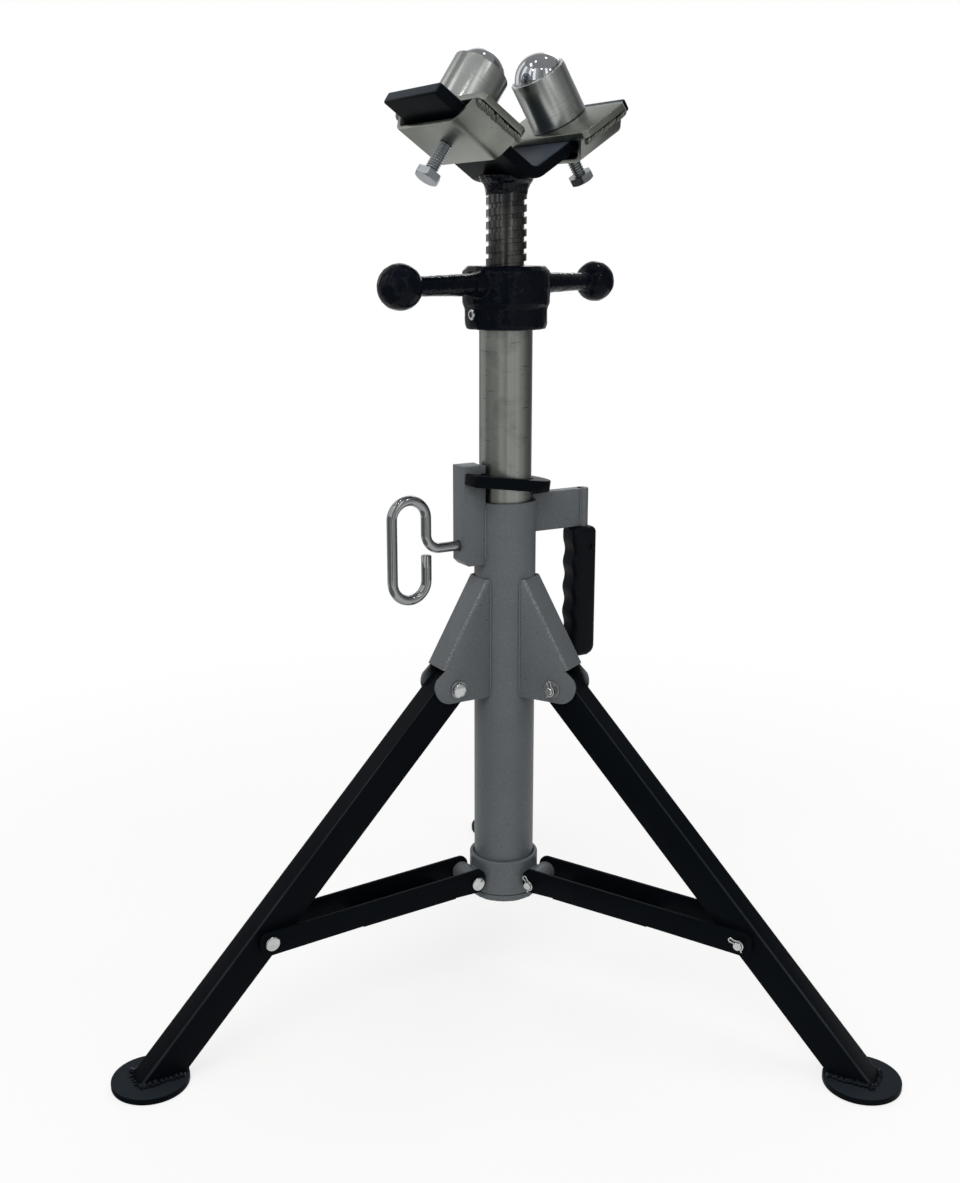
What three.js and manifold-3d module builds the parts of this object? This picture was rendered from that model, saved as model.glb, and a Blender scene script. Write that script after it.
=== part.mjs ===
// Folding tripod pipe stand: a pinned mast, a screw jack with a tommy-bar nut,
// and two ball transfer units clamped on a V head.
// Millimetres, +Z up, standing on z = 0. The side with two legs faces -Y.
import * as THREE from 'three';
import { mergeVertices } from 'three/addons/utils/BufferGeometryUtils.js';
import Module from 'manifold-3d';

const wasm = await Module();
wasm.setup();

// Shared fits
const SEAT = 0.3; // between pieces that are welded, pressed or resting on each other
const RUNNING = 0.5; // round a piece that turns or slides in another
const PIN_PLAY = 0.3; // round a clevis pin in its holes

// Column: outer tube on a base flange
const COLUMN_R = 30.25;
const COLUMN_WALL = 3.8;
const COLUMN_TOP = 516.8;
const FLANGE_R = 34.7;
const FLANGE_THICK = 6.6;
const FLANGE_BOTTOM = 104.4;
const FLANGE_HOLE_R = 18;
const FLANGE_TOP = FLANGE_BOTTOM + FLANGE_THICK;

// Mast: inner tube with a row of locking holes
const MAST_R = 25.4;
const MAST_WALL = 3.6;
const MAST_TOP = 708;
const LOCK_HOLE_PITCH = 50;
const LOCK_HOLE_COUNT = 5;

// Locking pin: a bent rod with an oval pull loop, in a boss on the column
const LOCK_R = 5;
const LOCK_Z = 476;
const LOCK_TIP_GAP = 0.6; // tip to mast, with the pin drawn back
const LOOP_CENTRE = 105.3;
const LOOP_HALF_WIDTH = 18;
const LOOP_TOP = 524.4;
const LOOP_BOTTOM = 428.3;
const LOOP_BEND_R = 14;
const LOOP_END_Z = 470.5;
const BOSS_AZIMUTH = -60;
const BOSS_WIDTH = 22;
const BOSS_OUTER = 52;
const BOSS_BOTTOM = 456.5;
const BOSS_TOP = 553.5;
const BOSS_CHAMFER = 5;

// Friction plate that grips the mast when it tilts
const PLATE_THICK = 11;
const PLATE_HALF_WIDTH = 32;
const PLATE_NEAR_END = 52; // on the side that faces the front
const PLATE_FAR_END = 40;
const PLATE_ROUND_CENTRE = 14.4;
const PLATE_Z = 534.7;
const PLATE_TILT = 8.4;
const PLATE_BORE_PLAY = 1.6;
const PLATE_TONGUE = 3.2; // how far the plate reaches into the slot of the boss
const PLATE_SLOT_PLAY = 1;

// Carry handle
const HANDLE_AZIMUTH = 120;
const ARM_THICK = 12;
const ARM_TOP = 520.7;
const ARM_BOTTOM = 482.2;
const ROD_R = 6.5;
const ROD_POS = 90.1;
const ROD_BOTTOM = 364;
const GRIP_WIDTH = 26;
const GRIP_INNER = 16; // from the rod's axis towards the column
const GRIP_OUTER = 12;
const GRIP_BOTTOM = 346.7;
const GRIP_EDGE_R = 6;
const GRIP_CHAMFER = 9;
const FINGER_COUNT = 4;
const FINGER_DEPTH = 2.4;
const FINGER_START = 366;
const FINGER_END = 470;

// Hub brackets and legs
const LEG_NAMES = ['left', 'right', 'rear'];
const LEG_AZIMUTHS = [-60, 60, 180];
const HUB_POS = 62;
const HUB_Z = 336.4;
const LEG_ANGLE = 43.3; // from the vertical, opened
const LEG_WIDTH = 25.5;
const LEG_WALL = 3;
const LEG_INNER = 13.3; // pin line to the open edges
const LEG_OUTER = 17.9; // pin line to the outside of the web
const LEG_HEAD = 14; // pin to the top end
const LEG_HEAD_ROUND = 9;
const LEG_LINK = 296.1; // hub pin to brace pin
const FOOT_R = 36;
const FOOT_THICK = 7;
const FOOT_EDGE = 1.2;
const FOOT_CIRCLE_R = 382;
const BRACKET_WALL = 3.2;
const BRACKET_TOP = 442.5;
const BRACKET_TOP_REACH = 31;
const BRACKET_BOTTOM = 323;
const BRACKET_SLOPE = 29.7; // web, from the vertical
const BRACKET_EAR_R = 17;
const BRACKET_WEB_LENGTH = 96.9;

// Sliding collar and braces
const COLLAR_R = 35;
const COLLAR_PLAY = 0.8;
const COLLAR_HEIGHT = 36.6;
const LUG_POS = 42.4;
const LUG_RISE = 16; // above the bottom of the collar
const LUG_R = 9.8;
const LUG_NECK = 17;
const LUG_NECK_HEIGHT = 13;
const BRACE_GAP = 4; // each side of the leg
const BRACE_WALL = 3.2;
const BRACE_ABOVE = 14.5; // pin line to the open edges, at the collar
const BRACE_TOE_ABOVE = 10.5; // the same at the leg
const BRACE_BELOW = 10.5; // pin line to the underside of the web, at the collar
const BRACE_TOE_BELOW = 13; // the same at the leg
const BRACE_END = 11.5; // past the leg pin
const BRACE_HEEL = 9; // past the collar pin
const BRACE_END_ROUND = 9;
const BRACE_WEB_START = 26; // web cut back from the collar pin
const BRACE_WEB_CUT = 95; // web cut back from the leg pin

// Clevis pins, hub washers and hairpin clips
const PIN_R = 4;
const PIN_HEAD_R = 7;
const PIN_HEAD_THICK = 3;
const PIN_EDGE = 0.8;
const PIN_TAIL = 8.5; // past the outer face
const PIN_TAIL_HOLE = 3.6; // from the tail's end
const WASHER_R = 8.6;
const WASHER_THICK = 1.5;
const CLIP_WIRE_R = 0.9;
const CLIP_HOLE_PLAY = 0.4;
const CLIP_REACH = 8;
const CLIP_LOOP = 3;

// Screw jack
const SCREW_R = 19.1;
const SCREW_ROOT_R = 16.8;
const SCREW_PITCH = 11;
const SCREW_CREST = 5.6;
const SCREW_FLANK = 0.5;
const SCREW_BOTTOM = 545;
const THREAD_BOTTOM = 622;
const THREAD_TOP = 801;
const NUT_BOTTOM = 680;
const NUT_TOP = 738;
const NUT_SKIRT_R = 37.5;
const NUT_BODY_R = 41.5;
const NUT_WAIST_Z = 704;
const NUT_SHOULDER = 5;
const TOMMY_Z = 721.4;
const TOMMY_AZIMUTH = 142.2;
const TOMMY_HALF = 151.3;
const TOMMY_ROOT_R = 13; // in the nut, from where the arm tapers
const TOMMY_ROOT_START = 34;
const TOMMY_ROOT_END = 54;
const TOMMY_ARM_R = 10.2;
const TOMMY_TIP_R = 8.2;
const TOMMY_BALL_R = 20;
const THRUST_THICK = 3.2;
const SET_SCREW_R = 5;
const SET_SCREW_Z = 694;
const SET_SCREW_AZIMUTH = -55;
const SET_SCREW_SOCKET_R = 2.9;
const SET_SCREW_SOCKET_DEPTH = 4.5;

// V head, clamped saddles and ball transfer units
const HEAD_AZIMUTH = 32;
const HEAD_LEAN = 0.8;
const HEAD_ROOT_Z = 810.5;
const WING_ANGLE = 33.4;
const WING_LENGTH = 124.9;
const WING_THICK = 11.5;
const WING_WIDTH = 93;
const WING_BEND_R = 8;
const SADDLE_NAMES = ['left', 'right'];
const SADDLE_TURNS = [180, 0];
const SADDLE_POSITIONS = [72.5, 76]; // along the wing, from the root
const SADDLE_LENGTH = 53;
const SADDLE_WIDTH = 152;
const SADDLE_PLATE = 6.5;
const SADDLE_CORNER = 4;
const STRAP_WALL = 4;
const STRAP_DROP = 9.6; // underside of the wing to the underside of the strap
const STRAP_FLOOR_HALF = 50.6;
const STRAP_TOP_HALF = 67;
const HOUSING_R = 26.7;
const HOUSING_HEIGHT = 47;
const HOUSING_OFFSET = 5;
const HOUSING_EDGE = 1;
const BALL_R = 24;
const BALL_SINK = 7; // ball centre below the rim
const BALL_PLAY = 0.5;
const BOLT_R = 6;
const BOLT_SHANKS = [29, 25]; // showing under each strap
const BOLT_HEAD_R = 12.4;
const BOLT_HEAD_THICK = 7.5;

// Facet counts
const ROUND = 32;
const SMALL_ROUND = 12;
const WIRE_SIDES = 5;
const HEX = 6;
const LOOP_SIDES = 8;
const LOOP_STEPS = 44;
const CLIP_STEPS = 11;
const THREAD_SIDES = 12;
const ARC_STEPS = 3;
const BALL_SIDES = 20;
const BALL_ROWS = 12;
const SEAT_SIDES = 24;
const SEAT_ROWS = 8;
const WAVE_STEPS = 6;
const MERGE = 1e-4;
const OVERSHOOT = 40; // how far a cutting tool passes its target

const rad = THREE.MathUtils.degToRad;
const legSin = Math.sin(rad(LEG_ANGLE));
const legCos = Math.cos(rad(LEG_ANGLE));
const collarBottom = FLANGE_TOP + SEAT;
const lugZ = collarBottom + LUG_RISE;
const bracketHalf = LEG_WIDTH / 2 + RUNNING + BRACKET_WALL;
const braceInnerHalf = LEG_WIDTH / 2 + BRACE_GAP;
const braceHalf = braceInnerHalf + BRACE_WALL;
const legPinPos = HUB_POS + LEG_LINK * legSin;
const legPinZ = HUB_Z - LEG_LINK * legCos;
const braceLength = Math.hypot(legPinPos - LUG_POS, legPinZ - lugZ);
const braceDip = Math.atan2(lugZ - legPinZ, legPinPos - LUG_POS);
const pinHoleR = PIN_R + PIN_PLAY;

// Finishes
const paint = (color, roughness) => new THREE.MeshStandardMaterial({ color, roughness, metalness: 0 });
const metal = (color, roughness) => new THREE.MeshStandardMaterial({ color, roughness, metalness: 1 });
const greyPaint = () => paint('#7b8086', 0.45);
const blackPaint = () => paint('#23272c', 0.4);
const glossBlack = () => paint('#141a24', 0.22);
const gripPlastic = () => paint('#101216', 0.5);
const drawnSteel = () => metal('#8a8c86', 0.35);
const oiledSteel = () => metal('#3a3632', 0.4);
const zincPlate = () => metal('#a9aba4', 0.4);
const brightSteel = () => metal('#c9c9c5', 0.25);
const turnedSteel = () => metal('#9a9c9a', 0.3);
const chromeBall = () => metal('#d8dade', 0.06);

// A geometry as a solid that can be joined and cut
function toSolid(geometry) {
  const bare = geometry.clone();
  bare.deleteAttribute('normal');
  bare.deleteAttribute('uv');
  const merged = mergeVertices(bare, MERGE);
  const corners = [];
  for (let i = 0; i < merged.index.count; i += 3) {
    const [a, b, c] = merged.index.array.slice(i, i + 3);
    if (a !== b && b !== c && c !== a) {
      corners.push(a, b, c);
    }
  }
  const vertProperties = new Float32Array(merged.attributes.position.array);
  const triVerts = new Uint32Array(corners);
  return new wasm.Manifold(new wasm.Mesh({ numProp: 3, vertProperties, triVerts }));
}

function toGeometry(solid) {
  const { vertProperties, triVerts } = solid.getMesh();
  const geometry = new THREE.BufferGeometry();
  geometry.setAttribute('position', new THREE.BufferAttribute(vertProperties, 3));
  geometry.setIndex(new THREE.BufferAttribute(triVerts, 1));
  geometry.computeVertexNormals();
  return geometry;
}

function join(geometries) {
  const solids = geometries.map(toSolid);
  return toGeometry(solids.reduce((whole, next) => whole.add(next)));
}

function cut(geometry, tools) {
  const solids = tools.map(toSolid);
  return toGeometry(solids.reduce((rest, tool) => rest.subtract(tool), toSolid(geometry)));
}

// An outline from corners [x, y] or [x, y, corner radius]
function outline(corners) {
  const shape = new THREE.Shape();
  const count = corners.length;
  corners.forEach(([x, y, radius = 0], i) => {
    const corner = new THREE.Vector2(x, y);
    const [beforeX, beforeY] = corners[(i + count - 1) % count];
    const [afterX, afterY] = corners[(i + 1) % count];
    const back = new THREE.Vector2(beforeX - x, beforeY - y).normalize();
    const ahead = new THREE.Vector2(afterX - x, afterY - y).normalize();
    const move = i === 0 ? 'moveTo' : 'lineTo';
    if (radius === 0) {
      shape[move](x, y);
      return;
    }
    const half = Math.acos(THREE.MathUtils.clamp(back.dot(ahead), -1, 1)) / 2;
    const start = corner.clone().addScaledVector(back, radius / Math.tan(half));
    const end = corner.clone().addScaledVector(ahead, radius / Math.tan(half));
    const bisector = back.clone().add(ahead).normalize();
    const centre = corner.clone().addScaledVector(bisector, radius / Math.sin(half));
    const from = Math.atan2(start.y - centre.y, start.x - centre.x);
    const to = Math.atan2(end.y - centre.y, end.x - centre.x);
    shape[move](start.x, start.y);
    shape.absarc(centre.x, centre.y, radius, from, to, back.cross(ahead) > 0);
  });
  return shape;
}

// A side profile in x and z, made a plate of the given width centred on y = 0
function sidePlate(shape, width) {
  const options = { depth: width, bevelEnabled: false, curveSegments: ARC_STEPS };
  const geometry = new THREE.ExtrudeGeometry(shape, options);
  geometry.rotateX(Math.PI / 2);
  geometry.translate(0, width / 2, 0);
  return geometry;
}

// A plan in x and y, made a plate centred on z = 0
function planPlate(shape, thickness) {
  const options = { depth: thickness, bevelEnabled: false, curveSegments: ARC_STEPS * 2 };
  const geometry = new THREE.ExtrudeGeometry(shape, options);
  geometry.translate(0, 0, -thickness / 2);
  return geometry;
}

// A cross-section in y and z, made a bar of the given length centred on x = 0
function crossBar(shape, length) {
  const geometry = planPlate(shape, length);
  geometry.rotateX(Math.PI / 2);
  geometry.rotateZ(Math.PI / 2);
  return geometry;
}

// A profile of [radius, height] turned about Z
function turned(profile, segments = ROUND) {
  const points = profile.map(([r, z]) => new THREE.Vector2(r, z));
  const geometry = new THREE.LatheGeometry(points, segments);
  geometry.rotateX(Math.PI / 2);
  return geometry;
}

function rod(radius, bottom, top, segments = ROUND) {
  return turned([[0, bottom], [radius, bottom], [radius, top], [0, top]], segments);
}

function ring(outer, inner, bottom, top, segments = ROUND) {
  return turned([[inner, bottom], [outer, bottom], [outer, top], [inner, top], [inner, bottom]], segments);
}

// A round bar along x, at a height
function radialBar(radius, from, to, z, segments = SMALL_ROUND) {
  const bar = rod(radius, from, to, segments);
  bar.rotateY(Math.PI / 2);
  bar.translate(0, 0, z);
  return bar;
}

// A round bar along y, through the point x, z
function crossHole(radius, x, z, halfWidth) {
  const bar = rod(radius, -halfWidth, halfWidth, SMALL_ROUND);
  bar.rotateX(Math.PI / 2);
  bar.translate(x, 0, z);
  return bar;
}

// A wire or rod along a path, with a polygon for its section
function wire(path, radius, sides, steps) {
  const section = new THREE.Shape();
  for (let i = 0; i < sides; i += 1) {
    const angle = (i * 2 * Math.PI) / sides;
    const move = i === 0 ? 'moveTo' : 'lineTo';
    section[move](radius * Math.cos(angle), radius * Math.sin(angle));
  }
  return new THREE.ExtrudeGeometry(section, { steps, bevelEnabled: false, extrudePath: path });
}

function part(name, geometry, material) {
  const mesh = new THREE.Mesh(geometry, material);
  mesh.name = name;
  return mesh;
}

// A group whose +X points outwards at an azimuth from the -Y side
function radialGroup(azimuth) {
  const group = new THREE.Group();
  group.rotation.z = rad(azimuth) - Math.PI / 2;
  return group;
}

function faceAzimuth(geometry, azimuth) {
  geometry.rotateZ(rad(azimuth) - Math.PI / 2);
  return geometry;
}

const columnEnvelope = () => rod(COLUMN_R + SEAT, FLANGE_BOTTOM, COLUMN_TOP + 2 * OVERSHOOT);

function makeOuterTube() {
  const tube = ring(COLUMN_R, COLUMN_R - COLUMN_WALL, FLANGE_TOP + SEAT, COLUMN_TOP);
  const hole = radialBar(LOCK_R + RUNNING, 0, COLUMN_R + OVERSHOOT, LOCK_Z);
  return part('outer_tube', cut(tube, [faceAzimuth(hole, BOSS_AZIMUTH)]), greyPaint());
}

function makeBaseFlange() {
  return part('base_flange', ring(FLANGE_R, FLANGE_HOLE_R, FLANGE_BOTTOM, FLANGE_TOP), greyPaint());
}

function makeMast() {
  const tube = ring(MAST_R, MAST_R - MAST_WALL, FLANGE_TOP + SEAT, MAST_TOP);
  const holes = [];
  for (let i = 0; i < LOCK_HOLE_COUNT; i += 1) {
    const z = LOCK_Z - i * LOCK_HOLE_PITCH;
    const hole = radialBar(LOCK_R + RUNNING, -MAST_R - OVERSHOOT, MAST_R + OVERSHOOT, z, LOOP_SIDES);
    holes.push(faceAzimuth(hole, BOSS_AZIMUTH));
  }
  return part('inner_tube', cut(tube, holes), drawnSteel());
}

// Block welded to the column: guides the locking pin and holds one end of the friction plate
function makePinBoss() {
  const inner = COLUMN_R - COLUMN_WALL;
  const profile = outline([
    [inner, BOSS_BOTTOM],
    [BOSS_OUTER - BOSS_CHAMFER, BOSS_BOTTOM],
    [BOSS_OUTER, BOSS_BOTTOM + BOSS_CHAMFER],
    [BOSS_OUTER, BOSS_TOP],
    [inner, BOSS_TOP],
  ]);
  const hole = radialBar(LOCK_R + RUNNING, 0, BOSS_OUTER + OVERSHOOT, LOCK_Z);
  const slotDepth = COLUMN_R + SEAT + PLATE_TONGUE + PLATE_SLOT_PLAY;
  const slot = new THREE.BoxGeometry(2 * slotDepth, BOSS_WIDTH + OVERSHOOT, PLATE_THICK + 2 * PLATE_SLOT_PLAY);
  slot.rotateY(-rad(PLATE_TILT));
  slot.translate(0, 0, PLATE_Z);
  const block = cut(sidePlate(profile, BOSS_WIDTH), [columnEnvelope(), hole, slot]);
  const group = radialGroup(BOSS_AZIMUTH);
  group.add(part('pin_boss', block, greyPaint()));
  return group;
}

function loopPath() {
  const near = LOOP_CENTRE - LOOP_HALF_WIDTH;
  const far = LOOP_CENTRE + LOOP_HALF_WIDTH;
  const upper = LOOP_TOP - LOOP_HALF_WIDTH;
  const lower = LOOP_BOTTOM + LOOP_HALF_WIDTH;
  const flat = new THREE.Path();
  flat.moveTo(MAST_R + LOCK_TIP_GAP, LOCK_Z);
  flat.lineTo(near - LOOP_BEND_R, LOCK_Z);
  flat.absarc(near - LOOP_BEND_R, LOCK_Z + LOOP_BEND_R, LOOP_BEND_R, -Math.PI / 2, 0, false);
  flat.lineTo(near, upper);
  flat.absarc(LOOP_CENTRE, upper, LOOP_HALF_WIDTH, Math.PI, 0, true);
  flat.lineTo(far, lower);
  flat.absarc(LOOP_CENTRE, lower, LOOP_HALF_WIDTH, 0, -Math.PI, true);
  flat.lineTo(near, LOOP_END_Z);
  const points = flat.getSpacedPoints(LOOP_STEPS * 2);
  return new THREE.CatmullRomCurve3(points.map(({ x, y }) => new THREE.Vector3(x, 0, y)));
}

function makeLockingPin() {
  const group = radialGroup(BOSS_AZIMUTH);
  group.add(part('locking_pin', wire(loopPath(), LOCK_R, LOOP_SIDES, LOOP_STEPS), brightSteel()));
  return group;
}

// Plate round the mast: notched end on the boss, round end under the thumb
function makeFrictionPlate() {
  const notchHalf = BOSS_WIDTH / 2 + PLATE_SLOT_PLAY;
  const notchEnd = COLUMN_R + SEAT + PLATE_TONGUE;
  const plan = new THREE.Shape();
  plan.moveTo(PLATE_ROUND_CENTRE, -PLATE_HALF_WIDTH);
  plan.absarc(PLATE_ROUND_CENTRE, 0, PLATE_HALF_WIDTH, -Math.PI / 2, Math.PI / 2, false);
  plan.lineTo(-PLATE_FAR_END, PLATE_HALF_WIDTH);
  plan.lineTo(-PLATE_FAR_END, notchHalf);
  plan.lineTo(-notchEnd, notchHalf);
  plan.lineTo(-notchEnd, -notchHalf);
  plan.lineTo(-PLATE_NEAR_END, -notchHalf);
  plan.lineTo(-PLATE_NEAR_END, -PLATE_HALF_WIDTH);
  const bore = rod(MAST_R + PLATE_BORE_PLAY, -PLATE_THICK, PLATE_THICK);
  const mesh = part('friction_plate', cut(planPlate(plan, PLATE_THICK), [bore]), blackPaint());
  mesh.position.z = PLATE_Z;
  mesh.rotation.y = rad(PLATE_TILT);
  const group = radialGroup(HANDLE_AZIMUTH);
  group.add(mesh);
  return group;
}

function makeHandleBracket() {
  const inner = COLUMN_R - COLUMN_WALL;
  const arm = outline([[inner, ARM_BOTTOM], [ROD_POS, ARM_BOTTOM], [ROD_POS, ARM_TOP], [inner, ARM_TOP]]);
  const post = rod(ROD_R, ROD_BOTTOM, ARM_TOP, SMALL_ROUND * 2);
  post.translate(ROD_POS, 0, 0);
  const bracket = cut(join([sidePlate(arm, ARM_THICK), post]), [columnEnvelope()]);
  return part('handle_bracket', bracket, greyPaint());
}

// Moulded grip with finger grooves on the side of the column
function makeHandGrip() {
  const top = ARM_BOTTOM - SEAT;
  const inner = ROD_POS - GRIP_INNER;
  const outer = ROD_POS + GRIP_OUTER;
  const corners = [
    [inner + GRIP_EDGE_R, GRIP_BOTTOM],
    [outer - GRIP_CHAMFER, GRIP_BOTTOM],
    [outer, GRIP_BOTTOM + GRIP_CHAMFER],
    [outer, top],
    [inner, top],
  ];
  const steps = FINGER_COUNT * WAVE_STEPS;
  for (let i = 0; i <= steps; i += 1) {
    const along = i / steps;
    const wave = (1 - Math.cos(along * FINGER_COUNT * 2 * Math.PI)) / 2;
    corners.push([inner + FINGER_DEPTH * wave, THREE.MathUtils.lerp(FINGER_END, FINGER_START, along)]);
  }
  corners.push([inner, GRIP_BOTTOM + GRIP_EDGE_R]);
  const body = new THREE.ExtrudeGeometry(outline(corners), {
    depth: GRIP_WIDTH - 2 * GRIP_EDGE_R,
    bevelThickness: GRIP_EDGE_R,
    bevelSize: GRIP_EDGE_R,
    bevelOffset: -GRIP_EDGE_R,
    bevelSegments: 2,
  });
  body.rotateX(Math.PI / 2);
  body.translate(0, GRIP_WIDTH / 2 - GRIP_EDGE_R, 0);
  const bore = rod(ROD_R + SEAT, ROD_BOTTOM - SEAT, top + OVERSHOOT, SMALL_ROUND * 2);
  bore.translate(ROD_POS, 0, 0);
  return part('hand_grip', cut(body, [bore]), gripPlastic());
}

function makeHandle() {
  const group = radialGroup(HANDLE_AZIMUTH);
  group.add(makeHandleBracket(), makeHandGrip());
  return group;
}

// Folded channel from an outer side profile and the profile of what its inside leaves open
function channel(outer, inside, width, wall, holes) {
  return cut(sidePlate(outer, width), [sidePlate(inside, width - 2 * wall), ...holes]);
}

// Hub bracket: a channel welded to the column, its sloping web outwards
function makeBracket(name) {
  const innerEdge = COLUMN_R - bracketHalf;
  const slope = Math.tan(rad(BRACKET_SLOPE));
  const sin = Math.sin(rad(BRACKET_SLOPE));
  const cos = Math.cos(rad(BRACKET_SLOPE));
  const wallAcross = BRACKET_WALL / cos;
  const toe = BRACKET_TOP_REACH + (BRACKET_TOP - BRACKET_BOTTOM) * slope;
  const outer = outline([
    [innerEdge, BRACKET_BOTTOM],
    [toe, BRACKET_BOTTOM, BRACKET_EAR_R],
    [BRACKET_TOP_REACH, BRACKET_TOP],
    [innerEdge, BRACKET_TOP],
  ]);
  const webEndX = BRACKET_TOP_REACH + BRACKET_WEB_LENGTH * sin;
  const webEndZ = BRACKET_TOP - BRACKET_WEB_LENGTH * cos;
  const inside = outline([
    [innerEdge - OVERSHOOT, BRACKET_BOTTOM - OVERSHOOT],
    [toe + OVERSHOOT, BRACKET_BOTTOM - OVERSHOOT],
    [webEndX + OVERSHOOT * cos, webEndZ + OVERSHOOT * sin],
    [webEndX - BRACKET_WALL * cos, webEndZ - BRACKET_WALL * sin],
    [BRACKET_TOP_REACH - wallAcross, BRACKET_TOP],
    [BRACKET_TOP_REACH - wallAcross, BRACKET_TOP + OVERSHOOT],
    [innerEdge - OVERSHOOT, BRACKET_TOP + OVERSHOOT],
  ]);
  const hole = crossHole(pinHoleR, HUB_POS, HUB_Z, bracketHalf + OVERSHOOT);
  const bracket = channel(outer, inside, 2 * bracketHalf, BRACKET_WALL, [hole, columnEnvelope()]);
  return part(`hub_bracket_${name}`, bracket, greyPaint());
}

// Leg: a channel with its web outwards, cut level where it stands on the foot
function makeLeg(name) {
  const reach = (HUB_Z - FOOT_THICK) / legCos + OVERSHOOT;
  const outer = outline([
    [-LEG_INNER, -reach],
    [LEG_OUTER, -reach],
    [LEG_OUTER, LEG_HEAD, LEG_HEAD_ROUND],
    [-LEG_INNER, LEG_HEAD, LEG_HEAD_ROUND],
  ]);
  const inside = outline([
    [-LEG_INNER - OVERSHOOT, -reach - OVERSHOOT],
    [LEG_OUTER - LEG_WALL, -reach - OVERSHOOT],
    [LEG_OUTER - LEG_WALL, LEG_HEAD + OVERSHOOT],
    [-LEG_INNER - OVERSHOOT, LEG_HEAD + OVERSHOOT],
  ]);
  const ground = new THREE.BoxGeometry(2 * reach, 2 * LEG_WIDTH, 2 * OVERSHOOT);
  ground.translate(0, 0, FOOT_THICK + SEAT - OVERSHOOT - HUB_Z);
  ground.rotateY(rad(LEG_ANGLE));
  const holes = [
    crossHole(pinHoleR, 0, 0, LEG_WIDTH),
    crossHole(pinHoleR, 0, -LEG_LINK, LEG_WIDTH),
    ground,
  ];
  const mesh = part(`leg_${name}`, channel(outer, inside, LEG_WIDTH, LEG_WALL, holes), blackPaint());
  mesh.position.set(HUB_POS, 0, HUB_Z);
  mesh.rotation.y = -rad(LEG_ANGLE);
  return mesh;
}

function makeFoot(name) {
  const profile = [
    [0, 0],
    [FOOT_R - FOOT_EDGE, 0],
    [FOOT_R, FOOT_EDGE],
    [FOOT_R, FOOT_THICK - FOOT_EDGE],
    [FOOT_R - FOOT_EDGE, FOOT_THICK],
    [0, FOOT_THICK],
  ];
  const mesh = part(`foot_${name}`, turned(profile), blackPaint());
  mesh.position.x = FOOT_CIRCLE_R;
  return mesh;
}

// Brace: a channel with its web underneath, cut back where the leg and the collar pass
function makeBrace(name) {
  const toe = braceLength + BRACE_END;
  const webEnd = braceLength - BRACE_WEB_CUT;
  const fall = (BRACE_TOE_BELOW - BRACE_BELOW) / (toe + BRACE_HEEL);
  const webTop = (x) => BRACE_WALL - BRACE_BELOW - fall * (x + BRACE_HEEL);
  const low = -BRACE_TOE_BELOW - OVERSHOOT;
  const high = BRACE_ABOVE + OVERSHOOT;
  const outer = outline([
    [-BRACE_HEEL, -BRACE_BELOW, BRACE_END_ROUND],
    [toe, -BRACE_TOE_BELOW, BRACE_END_ROUND],
    [toe, BRACE_TOE_ABOVE, BRACE_END_ROUND],
    [-BRACE_HEEL, BRACE_ABOVE, BRACE_END_ROUND],
  ]);
  const inside = outline([
    [-BRACE_HEEL - OVERSHOOT, low],
    [BRACE_WEB_START, low],
    [BRACE_WEB_START, webTop(BRACE_WEB_START)],
    [webEnd, webTop(webEnd)],
    [webEnd, low],
    [toe + OVERSHOOT, low],
    [toe + OVERSHOOT, high],
    [-BRACE_HEEL - OVERSHOOT, high],
  ]);
  const holes = [
    crossHole(pinHoleR, 0, 0, braceHalf + OVERSHOOT),
    crossHole(pinHoleR, braceLength, 0, braceHalf + OVERSHOOT),
  ];
  const brace = channel(outer, inside, 2 * braceHalf, BRACE_WALL, holes);
  return part(`brace_${name}`, brace, blackPaint());
}

// Collar: a ring that slides on the column, with a round lug for each brace
function makeCollar() {
  const top = collarBottom + COLLAR_HEIGHT;
  const bore = rod(COLUMN_R + COLLAR_PLAY, collarBottom - OVERSHOOT, top + OVERSHOOT);
  const pieces = [rod(COLLAR_R, collarBottom, top)];
  const bores = [bore];
  for (const azimuth of LEG_AZIMUTHS) {
    const lugHalf = braceInnerHalf - RUNNING;
    const neck = new THREE.BoxGeometry(LUG_POS - COLUMN_R, LUG_NECK, LUG_NECK_HEIGHT);
    neck.translate((LUG_POS + COLUMN_R) / 2, 0, lugZ);
    pieces.push(faceAzimuth(crossHole(LUG_R, LUG_POS, lugZ, lugHalf), azimuth), faceAzimuth(neck, azimuth));
    bores.push(faceAzimuth(crossHole(pinHoleR, LUG_POS, lugZ, COLLAR_R), azimuth));
  }
  return part('collar', cut(join(pieces), bores), greyPaint());
}

// Round profile along y: a pin from its tail to its head
function pinProfile(tail, face) {
  const points = [
    [0, tail],
    [PIN_R - PIN_EDGE, tail],
    [PIN_R, tail + PIN_EDGE],
    [PIN_R, face],
    [PIN_HEAD_R, face],
    [PIN_HEAD_R, face + PIN_HEAD_THICK - PIN_EDGE],
    [PIN_HEAD_R - PIN_EDGE, face + PIN_HEAD_THICK],
    [0, face + PIN_HEAD_THICK],
  ];
  return new THREE.LatheGeometry(points.map(([r, y]) => new THREE.Vector2(r, y)), SMALL_ROUND);
}

function clipHole(y) {
  const hole = radialBar(CLIP_WIRE_R + CLIP_HOLE_PLAY, -OVERSHOOT, OVERSHOOT, 0, WIRE_SIDES);
  hole.translate(0, y, 0);
  return hole;
}

function makePin(name, tail, face) {
  return part(name, cut(pinProfile(tail, face), [clipHole(tail + PIN_TAIL_HOLE)]), brightSteel());
}

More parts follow.
